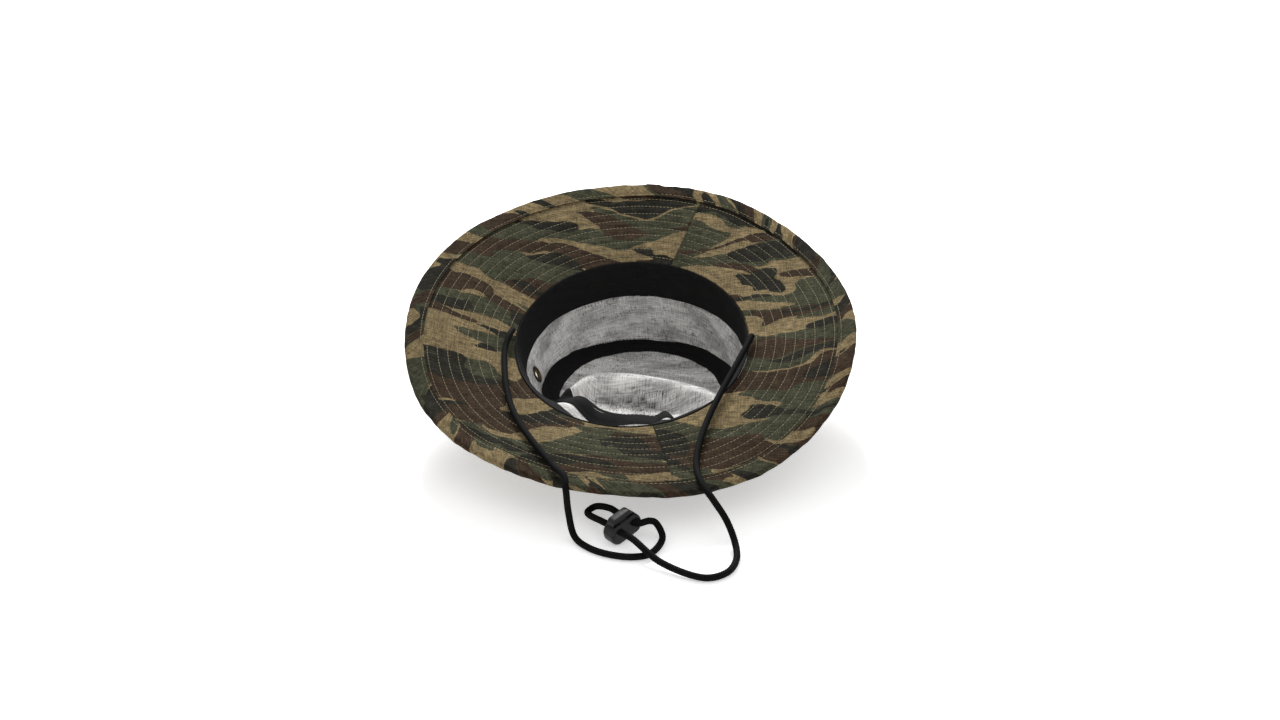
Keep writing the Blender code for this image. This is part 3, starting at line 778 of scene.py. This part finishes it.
def moulded_plastic():
    finish = Finish("black_plastic", 0.48, shine=0.3)
    grain = finish.grain(0.35 * MM, 2.0, 0.6)
    scuffs = finish.grain((5 * MM, 0.9 * MM, 3 * MM), 3.0, 0.7, 0.8)
    finish.set("Base Color", finish.mix(finish.step(scuffs, 0.45, 0.8), grey(0.006), grey(0.016)))
    finish.set("Roughness", finish.step(scuffs, 0.35, 0.7, (0.34, 0.5)))
    finish.bumped(grain, 0.04 * MM)
    return finish.material


def black_braid():
    finish = Finish("black_braid", 0.8, shine=0.08)
    fibre = finish.grain(0.5 * MM, 3.0, 0.7)
    finish.set("Base Color", finish.mix(finish.step(fibre, 0.35, 0.7), grey(0.002), grey(0.006)))
    finish.bumped(fibre, 0.05 * MM)
    return finish.material


def spring_steel():
    finish = Finish("spring_steel", 0.28, 1.0)
    drawn = finish.grain(0.4 * MM, 2.0)
    finish.set("Base Color", finish.mix(drawn, (0.42, 0.42, 0.43, 1.0), (0.66, 0.66, 0.67, 1.0)))
    finish.set("Roughness", finish.step(drawn, 0.3, 0.7, (0.2, 0.36)))
    return finish.material


# Pieces
def finish_piece(thing, body="hat", nodes=()):
    """Hides the CAD nodes that the piece stands for and hangs the piece on the body it rides on."""
    if nodes:
        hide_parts(*nodes)
    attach(thing, body)
    return thing


def add_cord(braid):
    """The chin cord: a braid of eight pairs of strands laid round a limp core."""
    path = cord_path(CORD_STEP)
    lengths = travelled(path)
    sides, strands, lead = 48, 8, 15 * MM
    angle = np.linspace(0, 2 * np.pi, sides, endpoint=False)[None, :]
    winding = 2 * np.pi * lengths[:, None] / lead
    one = strands * (angle + winding) / (2 * np.pi)
    two = strands * (angle - winding) / (2 * np.pi)
    over = (np.floor(one) + np.floor(two)) % 2 == 0
    bend = np.where(over, np.sin(np.pi * (one % 1.0)), np.sin(np.pi * (two % 1.0)))
    other = np.where(over, two % 1.0, one % 1.0)
    height = bend ** 0.6 * (0.55 + 0.45 * np.sin(np.pi * other))
    radius = CORD / 2 - 0.3 * MM + 0.38 * MM * height
    cord = tube("chin_cord_braid", path, radius, sides, braid)
    finish_piece(cord, nodes=["chin_cord"])


def between(near, far, start, end, at):
    return near + (far - near) * ((at - start) / (end - start))


def curve_point(a, b, c, d, share):
    """A point between b and c on the centripetal Catmull-Rom curve through four points."""
    k1 = math.sqrt(np.linalg.norm(b - a))
    k2 = k1 + math.sqrt(np.linalg.norm(c - b))
    k3 = k2 + math.sqrt(np.linalg.norm(d - c))
    at = k1 + (k2 - k1) * share
    ab, bc, cd = between(a, b, 0.0, k1, at), between(b, c, k1, k2, at), between(c, d, k2, k3, at)
    return between(between(ab, bc, 0.0, k2, at), between(bc, cd, k1, k3, at), k1, k2, at)


def cord_path(step):
    """Points a step apart on the smooth curve through the cord's route."""
    points = [np.array(point) * MM for point in CORD_ROUTE]
    ends = [2 * points[0] - points[1], *points, 2 * points[-1] - points[-2]]
    line = []
    for a, b, c, d in zip(ends, ends[1:], ends[2:], ends[3:]):
        samples = max(1, round(float(np.linalg.norm(c - b)) / step))
        line += [curve_point(a, b, c, d, sample / samples) for sample in range(samples)]
    return np.array([*line, points[-1]])


def brim_lift(out):
    """The face of the inner ply over the brim's middle layer; the outer ply mirrors it."""
    return 1.5 * BRIM_PLY + GAP + quilting(out)


def add_brim(cotton, stiffener, thread):
    first, second = BRIM_JOIN_TURNS
    spans = {"left": (first, second), "right": (second - 360.0, first)}
    stations = np.linspace(BRIM_START, BRIM_BODY_END, 92)
    for layer, sense in (("inner", 1.0), ("outer", -1.0)):
        for side, (start, end) in spans.items():
            turns = np.linspace(start + 0.06, end - 0.06, round((end - start) * 2) + 1)
            turn, out = grid(turns, stations)
            edge = np.minimum(turn - start, end - turn) * np.radians(1.0) * (90 * MM + out)
            rolled = 0.35 * MM * (1 - smooth(edge / (1.6 * MM)))
            face = brim_lift(out) - rolled
            back = np.full_like(out, 0.5 * BRIM_PLY + GAP)
            under, over = brim_point(turn, out, sense * back), brim_point(turn, out, sense * face)
            flat = over[..., :2] + {"left": 0.0, "right": 47 * MM}[side] + 0.3 * (sense < 0)
            ply = shell(f"brim_{layer}_cloth_{side}", under, over, [cotton], flat, wrap=False)
            finish_piece(ply, nodes=[f"brim_{layer}_ply_{side}"])
        rows = []
        for row in range(ROWS):
            out = FIRST_ROW + ROW_PITCH * row
            for start, end in spans.values():
                turns = np.linspace(start + 0.3, end - 0.3, round((end - start) * 2) + 1)
                rows.append(stitches_on(
                    turns, lambda t: brim_point(t, out, sense * (brim_lift(out) + 0.1 * MM)),
                    lambda t: brim_frame(t)[1] * sense))
        sewn(f"brim_{layer}_stitching", rows, 0.26 * MM, thread)
    turn, out = grid(np.arange(0, 360, 1.5), np.linspace(BRIM_START + 1.5 * MM, BRIM_BODY_END, 40))
    under, over = brim_point(turn, out, -BRIM_PLY / 2), brim_point(turn, out, BRIM_PLY / 2)
    layer = shell("brim_stiffener", under, over, [stiffener], over[..., :2])
    finish_piece(layer, nodes=["brim_interlining"])


def binding_profile():
    """Across the folded binding: (out, lift) of its inner and its outer face, in millimetres."""
    inner_end = (BRIM_WIDTH - BINDING_WIDTH) / MM
    outs = np.linspace(inner_end, 77.6, 14)
    crown = 0.32 * np.sin(np.pi * np.clip((outs - inner_end) / 10.6, 0, 1)) ** 0.7
    stitched = 0.3 * np.exp(-((outs - inner_end - 2.2) / 0.7) ** 2)
    start = 0.35 * np.exp(-(outs - inner_end) / 0.9)
    top = 2.35 + crown - stitched + start
    bend = np.linspace(90, -90, 13)[1:-1]
    nose = [(77.6 + 2.5 * math.cos(math.radians(a)), 2.4 * math.sin(math.radians(a))) for a in bend]
    hollow = [(77.6 + 1.9 * math.cos(math.radians(a)), 1.78 * math.sin(math.radians(a))) for a in bend]
    over = [*zip(outs, top), *nose, *zip(outs[::-1], -top[::-1])]
    under = [*zip(outs, top - 0.55), *hollow, *zip(outs[::-1], 0.55 - top[::-1])]
    return np.array(under), np.array(over)


def add_binding(cotton, thread):
    under, over = binding_profile()
    turns = np.arange(0, 360, 0.4)
    turn = np.repeat(turns[:, None], len(over), axis=1)
    puckers = round_noise(turn, 22, over[None, :, 0] * 0.12)
    lap = smooth((turn - 86.6) / 0.5) * smooth((91.2 - turn) / 0.4)
    growth = 1.0 + (0.18 * puckers + 0.26 * lap)
    faces = []
    for profile, swell in ((under, 1.0 + (growth - 1.0) * 0.9), (over, growth)):
        out = np.broadcast_to(profile[None, :, 0] * MM, turn.shape)
        out = out + 0.35 * MM * (puckers + 1.4 * lap) * smooth((out - 74 * MM) / (5 * MM))
        faces.append(brim_point(turn, out, profile[None, :, 1] * MM * swell))
    middle = np.linalg.norm(np.roll(faces[1][:, 10], -1, axis=0) - faces[1][:, 10], axis=-1)
    around = np.cumsum(middle)[:, None] + 0 * turn
    across = travelled(over) * MM
    flat = np.stack([(around + across[None]) * 0.75, (across[None] - around) * 0.75], axis=-1) + 0.9
    binding = shell("brim_binding", faces[0], faces[1], [cotton], flat)
    finish_piece(binding, nodes=["brim_edge_binding"])
    rows = []
    for sense in (1.0, -1.0):
        out = BRIM_WIDTH - BINDING_WIDTH + 2.2 * MM
        rows.append(stitches_on(ROW_TURNS,
                                lambda t: brim_point(t, out, sense * 2.5 * MM),
                                lambda t: brim_frame(t)[1] * sense, pitch=3.2 * MM))
    sewn("binding_stitching", rows, 0.24 * MM, thread)


def eyelet_frames():
    """Each eyelet's centre on the wall, with its sideways, upward and inward directions."""
    frames = {}
    step, half = 0.045, 3.75
    for place, turn in EYELET_TURNS.items():
        around = wall_point(turn + half, EYELET_DOWN) - wall_point(turn - half, EYELET_DOWN)
        downward = wall_point(turn, EYELET_DOWN + step) - wall_point(turn, EYELET_DOWN - step)
        inward, across = unit(np.cross(around, downward)), unit(around)
        frames[place] = (wall_point(turn, EYELET_DOWN), across, np.cross(inward, across), inward)
    return frames


def flattened(points, frames, inset):
    """Points of the wall pressed flat, at an inset, under the rims of the eyelets."""
    points = points.copy()
    for centre, across, upward, inward in frames.values():
        away = points - centre
        depth = dot(away, inward)
        reach = np.linalg.norm(away - depth[..., None] * inward, axis=-1)
        pressed = 1 - smooth((reach - EYELET_SIZE * 0.52) / (5 * MM))
        pressed = np.where(np.abs(depth) < 12 * MM, pressed, 0.0)
        points += inward * ((inset - depth) * pressed)[..., None]
    return points


def add_wall(cotton, reverse, frames, thread):
    turn, down = grid(np.arange(0, 360, 0.6), np.linspace(0, 1, 66))
    outer = flattened(wall_point(turn, down, -CLOTH / 2), frames, -CLOTH / 2)
    inner = flattened(wall_point(turn, down, CLOTH / 2), frames, CLOTH / 2)
    flat = np.stack([np.radians(turn) * 88 * MM, down * wall_height(turn)], axis=-1) + 1.7
    middle = (outer + inner) / 2
    after = np.roll(middle, -1, 0)
    centres = (middle[:, :-1] + middle[:, 1:] + after[:, :-1] + after[:, 1:]) / 4
    holes = np.zeros(centres.shape[:2], bool)
    for centre, *_ in frames.values():
        holes |= np.linalg.norm(centres - centre, axis=-1) < EYELET_BARREL / 2 + 0.75 * MM
    wall = shell("crown_side_cloth", outer, inner, [cotton, reverse], flat, holes=holes)
    finish_piece(wall, nodes=["crown_side_panel"])
    rows = [stitches_on(ROW_TURNS, lambda t: wall_from_seam(t, height, -CLOTH / 2 - 0.1 * MM),
                        lambda t: wall_from_seam(t, height, -2 * MM) - wall_from_seam(t, height))
            for height in (3 * MM, 9 * MM)]
    sewn("crown_seam_stitching", rows, 0.24 * MM, thread)


def add_crown_top(cotton, reverse):
    turns = np.arange(0, 360, 0.75)
    shares = np.linspace(0.02, 1.0, 70)
    turn, share = grid(turns, shares)
    share = share * share_from_seam(turn, TOP_EDGE)
    faces = [top_point(turn, share, lift) for lift in (-CLOTH / 2, CLOTH / 2)]
    flat = faces[0][..., :2] + 2.6
    top = shell("crown_top_cloth", faces[0], faces[1], [cotton, reverse], flat)
    x, y, _ = (faces[0] + faces[1]).reshape(-1, 3).T / 2
    # Painted shade in the valley in front of the ridge, where the lining gets darker, and painted light along
    # the crest, where it gets paler.
    valley = hill(x, 2 * MM, 52 * MM) ** 0.5 * hill(y, VALLEY_MIDDLE, VALLEY_REACH)
    valley = valley - 0.3 * (ridge(x, y) / RIDGE_HEIGHT) ** 2
    painted_valley_shade = top.data.attributes.new("painted_valley_shade", "FLOAT", "POINT")
    painted_valley_shade.data.foreach_set("value", np.concatenate([valley, valley]).astype(np.float32))
    close_hub(top.data, len(turns), len(shares))
    finish_piece(top, nodes=["crown_top_panel"])


def close_hub(mesh, rows, columns):
    """Closes the small hole at the hub of a shell of rows by columns, on both of its faces."""
    import bmesh
    shape = bmesh.new()
    shape.from_mesh(mesh)
    shape.verts.ensure_lookup_table()
    count = rows * columns
    inner_edge = {row * columns for row in range(rows)}
    both = inner_edge | {count + spot for spot in inner_edge}
    doomed = [face for face in shape.faces if all(v.index in both for v in face.verts)]
    bmesh.ops.delete(shape, geom=doomed, context="FACES_ONLY")
    shape.verts.ensure_lookup_table()
    for start in (0, count):
        ring = [shape.verts[start + row * columns] for row in range(rows)]
        face = shape.faces.new(ring if start else ring[::-1])
        face.smooth = True
        face.material_index = 1 if start else 0
    bmesh.ops.recalc_face_normals(shape, faces=shape.faces)
    shape.to_mesh(mesh)
    shape.free()


def add_sweatband(twill, thread):
    turns = np.arange(0, 360, 0.6)
    near = CLOTH / 2 + GAP
    downs = np.concatenate([[0.0], np.linspace(0.02, SWEATBAND_DOWN, 26)])
    turn, down = grid(turns, downs)
    down = down * (1 + 0.012 * round_noise(turn, 4, 2.0) * down / SWEATBAND_DOWN)
    lap = smooth((turn - 88.7) / 0.5) * smooth((93.6 - turn) / 0.4)
    slack = np.maximum(0.35 * MM * round_noise(turn, 5, down * 4) * down / SWEATBAND_DOWN, 0.0)
    slack = slack + humps(turn, SWEATBAND_SLACK) * smooth(down / 0.14)
    sides = []
    for depth in (near, near + SWEATBAND_THICK):
        face = wall_point(turn, down, depth + slack + (0.45 * MM * lap if depth > near else 0.0))
        rim = []
        for rise, share in ((SWEATBAND_RISE, 0.35), (SWEATBAND_RISE - 0.3 * MM, 0.85), (0.7 * MM, 1.0)):
            middle = near + SWEATBAND_THICK / 2
            inset = middle + (depth - middle) * share
            edge = wall_top(turns) + OPENING_NORMAL * rise - opening_outward(turns) * inset
            rim.append(edge[:, None])
        sides.append(np.concatenate([*rim, face], axis=1))
    flat = np.stack(grid(np.radians(turns) * 85 * MM, travelled(sides[1][0])), axis=-1)
    band = shell("sweatband_twill", sides[0], sides[1], [twill], flat)
    finish_piece(band, nodes=["sweatband"])
    depth = near + SWEATBAND_THICK + 0.08 * MM
    rows = [stitches_on(ROW_TURNS, lambda t: wall_point(t, np.full_like(t, 0.035), depth),
                        lambda t: -opening_outward(t))]
    lap_downs = np.linspace(0.03, SWEATBAND_DOWN - 0.02, 12)
    lap_points = wall_point(np.full_like(lap_downs, 89.6), lap_downs, depth + 0.45 * MM)
    rows.append((lap_points[:-1], lap_points[:-1] + (lap_points[1:] - lap_points[:-1]) * 0.75,
                 -opening_outward(np.full(len(lap_downs) - 1, 89.6))))
    sewn("sweatband_stitching", rows, 0.2 * MM, thread)


def tape_reach(turn, seed):
    """How far the tape reaches from the seam: its edges wander a little."""
    wander = 0.9 * round_noise(turn, 4, seed) + 0.4 * round_noise(turn, 13, seed)
    return TAPE_REACH + MM * wander - TAPE_TUCK * bump(turn, 90.0, 80.0)


def tape_side(turn, lift):
    """Across the crown seam: down the wall's inside, round the corner and along the top."""
    wall_reach, top_reach = tape_reach(turn, 1.0), tape_reach(turn, 6.0)
    wall_reach = wall_reach - TAPE_FRONT_TUCK * bump(turn, 271.0, 32.0)
    line = []
    for share in np.linspace(0, 1, 7):
        reach = wall_reach + (TAPE_CORNER - wall_reach) * share
        line.append(wall_from_seam(turn, reach, lift))
    corner = top_point(turn, share_from_seam(turn, lift + GAP), lift)
    last = top_point(turn, share_from_seam(turn, TAPE_CORNER), lift)
    first = line[-1]
    for share in (0.2, 0.4, 0.6, 0.8):
        line.append(first * (1 - share) ** 2 + corner * (2 * share * (1 - share)) + last * share ** 2)
    for share in np.linspace(0, 1, 7):
        reach = TAPE_CORNER + (top_reach - TAPE_CORNER) * share
        line.append(top_point(turn, share_from_seam(turn, reach), lift))
    return np.stack(line, axis=1)


def add_tape(twill, thread):
    turns = np.arange(0, 360, 0.6)
    near = CLOTH / 2 + GAP
    under, over = tape_side(turns, near), tape_side(turns, near + TAPE_THICK)
    across = np.linspace(0, 2 * TAPE_REACH, under.shape[1])
    flat = np.stack(grid(np.radians(turns) * 72 * MM, across), axis=-1) + 0.4
    tape = shell("crown_seam_twill", under, over, [twill], flat)
    finish_piece(tape, nodes=["crown_seam_tape"])
    depth, reach = near + TAPE_THICK + 0.08 * MM, 8.4 * MM
    rows = [stitches_on(ROW_TURNS, lambda t: wall_from_seam(t, reach, depth),
                        lambda t: wall_from_seam(t, reach, 2 * MM) - wall_from_seam(t, reach)),
            stitches_on(ROW_TURNS, lambda t: top_point(t, share_from_seam(t, reach), depth),
                        lambda t: np.broadcast_to(UP, (*t.shape, 3)))]
    sewn("crown_tape_stitching", rows, 0.2 * MM, thread)


LOOP_TACKS = 12


def add_foliage_band(cotton, thread):
    """The band of loops: sewn down at its tacks, standing off the crown between them."""
    turns = np.arange(0, 360, 0.6)
    turn, down = grid(turns, np.linspace(*FOLIAGE_DOWN, 18))
    near = CLOTH / 2 + GAP
    spacing = 360.0 / LOOP_TACKS
    loop = np.abs(np.sin(np.pi * turn / spacing)) ** 0.7
    across = (down - FOLIAGE_DOWN[0]) / (FOLIAGE_DOWN[1] - FOLIAGE_DOWN[0])
    stand = MM * loop * (1.3 + 0.5 * soft_noise(turn / 30, across * 2, 0.0, 1.0))
    hem = 0.35 * MM * np.maximum(np.exp(-(across / 0.12) ** 2), np.exp(-((1 - across) / 0.12) ** 2))
    under = wall_point(turn, down, -(near + stand))
    over = wall_point(turn, down, -(near + stand + FOLIAGE_THICK + hem))
    flat = np.stack([np.radians(turn) * 90 * MM, down * 80 * MM], axis=-1) + 3.4
    band = shell("foliage_loops", under, over, [cotton], flat)
    finish_piece(band, nodes=["foliage_loop_band"])
    low, high = FOLIAGE_DOWN
    tacks = []
    for tack in range(LOOP_TACKS):
        for place in np.linspace(low + 0.02, high - 0.02, 22):
            middle = tack * spacing
            pair = wall_point(np.array([middle - 0.8, middle + 0.8]), np.array([place, place + 0.006]),
                              -(near + FOLIAGE_THICK + 0.35 * MM))
            tacks.append((pair[:1], pair[1:], opening_outward(np.array([middle]))))
    sewn("loop_tacks", tacks, 0.24 * MM, thread)


def ring(name, profile, frame_of, finish, sides=64):
    """A ring turned from a closed profile of (radius, height) in metres on an eyelet's frame."""
    centre, across, upward, inward = frame_of
    angle = np.linspace(0, 2 * np.pi, sides, endpoint=False)[:, None]
    profile = np.array(profile)
    ray = across * np.cos(angle)[..., None] + upward * np.sin(angle)[..., None]
    points = centre + ray * profile[None, :, :1] + inward * profile[None, :, 1:]
    count = len(profile)
    index = np.arange(sides * count).reshape(sides, count)
    after, side = np.roll(index, -1, axis=0), np.roll(index, -1, axis=1)
    both = np.roll(side, -1, axis=0)
    quads = np.stack([index, side, both, after], axis=-1).reshape(-1, 4)
    return make_object(name, points.reshape(-1, 3), quads, [finish], sharp=60.0)


def arc(radius, height, size, start, end, steps):
    """Points of an arc in a turned profile."""
    angles = np.radians(np.linspace(start, end, steps))
    return [(radius + size * math.cos(a), height + size * math.sin(a)) for a in angles]


def add_eyelets(brass, frames):
    outer, barrel, hole = EYELET_SIZE / 2, EYELET_BARREL / 2, EYELET_HOLE / 2
    seat = CLOTH / 2 + 0.05 * MM
    for place, spot in frames.items():
        flange = arc(outer - 0.3 * MM, -seat - 0.3 * MM, 0.3 * MM, 90, -90, 7)
        flange += arc(hole + 1.0 * MM, -seat + 0.2 * MM, 1.0 * MM, -90, -160, 6)
        flange += [(hole, -seat + 0.25 * MM), (hole, seat)]
        flange += arc(hole + 0.5 * MM, seat + 0.2 * MM, 0.5 * MM, 180, 0, 9)
        flange += [(hole + 0.9 * MM, seat + 0.1 * MM), (barrel, seat + 0.1 * MM), (barrel, -seat)]
        eyelet = ring("eyelet_" + place, flange, spot, brass)
        finish_piece(eyelet, nodes=["vent_eyelet_" + place])
        washer = [(barrel + 0.15 * MM, seat), (outer - 0.2 * MM, seat)]
        washer += arc(outer - 0.35 * MM, seat + 0.3 * MM, 0.35 * MM, -30, 90, 6)
        washer += [(barrel + 1.0 * MM, seat + 0.5 * MM), (barrel + 0.15 * MM, seat + 0.35 * MM)]
        plate = ring("washer_" + place, washer, spot, brass)
        finish_piece(plate, nodes=["vent_washer_" + place])


# Cord lock
def lock_matrix():
    holes = Vector((math.cos(LOCK_HEADING), math.sin(LOCK_HEADING), 0.0))
    side = Vector((-holes.y, holes.x, 0.0)) * math.cos(LOCK_TILT) + Vector(UP) * math.sin(LOCK_TILT)
    base = side.cross(-holes)
    turn = Matrix((side, -holes, base)).transposed().to_4x4()
    return Matrix.Translation(Vector(LOCK_CENTRE)) @ turn @ Matrix.Translation((0, 0, -LOCK_HEIGHT / 2))


def box_object(name, low, high, finish):
    low, high = Vector(low), Vector(high)
    corners = [(x, y, z) for x in (low.x, high.x) for y in (low.y, high.y) for z in (low.z, high.z)]
    sides = ((0, 1, 3, 2), (4, 6, 7, 5), (0, 4, 5, 1), (2, 3, 7, 6), (0, 2, 6, 4), (1, 5, 7, 3))
    return make_object(name, corners, sides, [finish])


def prism(name, outline, length, finish):
    """A prism along Y over an outline of (x, z). Its faces point inwards."""
    count = len(outline)
    points = [(x, y, z) for y in (-length / 2, length / 2) for x, z in outline]
    faces = [(k, (k + 1) % count, count + (k + 1) % count, count + k) for k in range(count)]
    faces += [tuple(range(count))[::-1], tuple(range(count, 2 * count))]
    return linked(name, points, faces, [finish])


def bar_object(name, x, z, radius, length, finish):
    """A round bar along Y through (x, z), meant to cut a cord hole."""
    angle = np.linspace(0, 2 * np.pi, 48, endpoint=False)
    return prism(name, [(x + radius * math.cos(a), z + radius * math.sin(a)) for a in angle], length, finish)


def slab_object(name, length, low, high, depth, corners, finish):
    """A slab across Y with rounded corners, of radii (lower, upper), as seen along Y."""
    outline = []
    for x_side, z_side, start in ((1, -1, -90), (1, 1, 0), (-1, 1, 90), (-1, -1, 180)):
        radius = corners[0] if z_side < 0 else corners[1]
        x = x_side * (length / 2 - radius)
        z = low + radius if z_side < 0 else high - radius
        outline += [(x + radius * math.cos(a), z + radius * math.sin(a))
                    for a in np.radians(np.linspace(start, start + 90, 12))]
    return prism(name, outline, depth, finish)


def rounded(thing, width, segments):
    edges = thing.modifiers.new("edges", "BEVEL")
    edges.width = width
    edges.segments = segments
    edges.limit_method = "ANGLE"
    edges.angle_limit = math.radians(30.0)


def settled(thing, cutters, matrix):
    """Cuts the piece, applies its modifiers and puts its place in the mesh; the cutters go."""
    for cutter in cutters:
        boolean = thing.modifiers.new("cut", "BOOLEAN")
        boolean.object = cutter
        boolean.operation = "DIFFERENCE"
    bpy.context.view_layer.update()
    shape = thing.evaluated_get(bpy.context.evaluated_depsgraph_get())
    mesh = bpy.data.meshes.new_from_object(shape)
    mesh.transform(matrix)
    thing.modifiers.clear()
    thing.data = mesh
    mesh.shade_smooth()
    mesh.set_sharp_from_angle(angle=math.radians(35))
    for cutter in cutters:
        bpy.data.objects.remove(cutter, do_unlink=True)


def add_cord_lock(plastic, steel):
    matrix = lock_matrix()
    body = slab_object("cord_lock_case", LOCK_LENGTH, 0, LOCK_HEIGHT, LOCK_DEPTH,
                       (LOCK_CORNER, LOCK_CORNER), plastic)
    rounded(body, LOCK_ROUNDING, 7)
    cutters = [box_object("pocket", (-POCKET_LENGTH / 2, -POCKET_DEPTH / 2, POCKET_FLOOR),
                          (POCKET_LENGTH / 2, POCKET_DEPTH / 2, LOCK_HEIGHT + 5 * MM), plastic)]
    for x in (-LOCK_HOLE_SPACING / 2, LOCK_HOLE_SPACING / 2):
        cutters.append(bar_object("hole", x, LOCK_HOLE_HEIGHT, LOCK_HOLE / 2, 30 * MM, plastic))
        for face in (-1, 1):
            cutters.append(bar_object("recess", x, LOCK_HOLE_HEIGHT, LOCK_HOLE / 2 + 0.7 * MM,
                                      1.6 * MM, plastic))
            cutters[-1].location.y = face * LOCK_DEPTH / 2
    settled(body, cutters, matrix)
    finish_piece(body, "cord_lock", ["cord_lock_body"])

    room = 0.2 * MM
    button = slab_object("cord_lock_plunger", POCKET_LENGTH - 2 * room, PLUNGER_BASE, BUTTON_TOP,
                         POCKET_DEPTH - 2 * room, (1.5 * MM, 3.4 * MM), plastic)
    rounded(button, 1.0 * MM, 5)
    cutters = []
    for x in (-LOCK_HOLE_SPACING / 2, LOCK_HOLE_SPACING / 2):
        half = LOCK_HOLE / 2
        cutters.append(box_object("slot", (x - half, -10 * MM, LOCK_HOLE_HEIGHT - half),
                                  (x + half, 10 * MM, LOCK_HOLE_HEIGHT + half + LOCK_TRAVEL), plastic))
    settled(button, cutters, matrix)
    finish_piece(button, "lock_button", ["cord_lock_button"])
    add_spring(steel, matrix)


def add_spring(steel, matrix):
    """The spring under the plunger, with closed ends, between the pocket's floor and the plunger's base."""
    low = POCKET_FLOOR + GAP + SPRING_WIRE / 2
    high = PLUNGER_BASE - GAP - SPRING_WIRE / 2
    share = np.linspace(0, 1, 127)
    angle = 2 * np.pi * SPRING_COILS * share
    coil = np.stack([SPRING_RADIUS * np.cos(angle), SPRING_RADIUS * np.sin(angle),
                     low + (high - low) * smooth(share)], axis=-1)
    coil = [tuple(matrix @ Vector(point)) for point in coil]
    spring = tube("cord_lock_coil", coil, SPRING_WIRE / 2, 12, steel)
    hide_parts("cord_lock_spring")
    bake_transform(spring)


# Floor and light
def add_studio():
    finish = Finish("floor", 0.9)
    finish.set("Base Color", grey(0.93))
    finish.set("Emission Color", grey(1.0))
    finish.set("Emission Strength", FLOOR_GLOW)
    corners = [(x * FLOOR_REACH, y * FLOOR_REACH, 0) for x, y in ((-1, -1), (1, -1), (1, 1), (-1, 1))]
    linked("floor", corners, [(0, 1, 2, 3)], [finish.material])
    world = bpy.data.worlds.new("studio")
    world.use_nodes = True
    background = world.node_tree.nodes["Background"]
    background.inputs["Color"].default_value = grey(1.0)
    background.inputs["Strength"].default_value = WORLD_LIGHT
    bpy.context.scene.world = world
    for name, place, size, power in LAMPS:
        data = bpy.data.lights.new(name, "AREA")
        data.size = size
        data.energy = power
        lamp = bpy.data.objects.new(name, data)
        lamp.location = place
        lamp.rotation_euler = (-Vector(place)).to_track_quat("-Z", "Y").to_euler()
        bpy.context.collection.objects.link(lamp)
    bpy.context.scene.view_settings.view_transform = "Standard"


def main():
    make_camera()
    add_cord_lock(moulded_plastic(), spring_steel())
    add_cord(black_braid())
    cotton, reverse, twill = printed_cotton(), reverse_cotton(), black_twill()
    pale_thread = thread_finish("pale_thread", srgb(104, 96, 74), srgb(158, 148, 122))
    dark_thread = thread_finish("dark_thread", grey(0.008), grey(0.02))
    add_brim(cotton, interlining(), pale_thread)
    add_binding(cotton, pale_thread)
    frames = eyelet_frames()
    add_wall(cotton, reverse, frames, pale_thread)
    add_crown_top(cotton, reverse)
    add_sweatband(twill, dark_thread)
    add_tape(twill, dark_thread)
    add_foliage_band(cotton, pale_thread)
    add_eyelets(antique_brass(), frames)
    add_studio()


main()
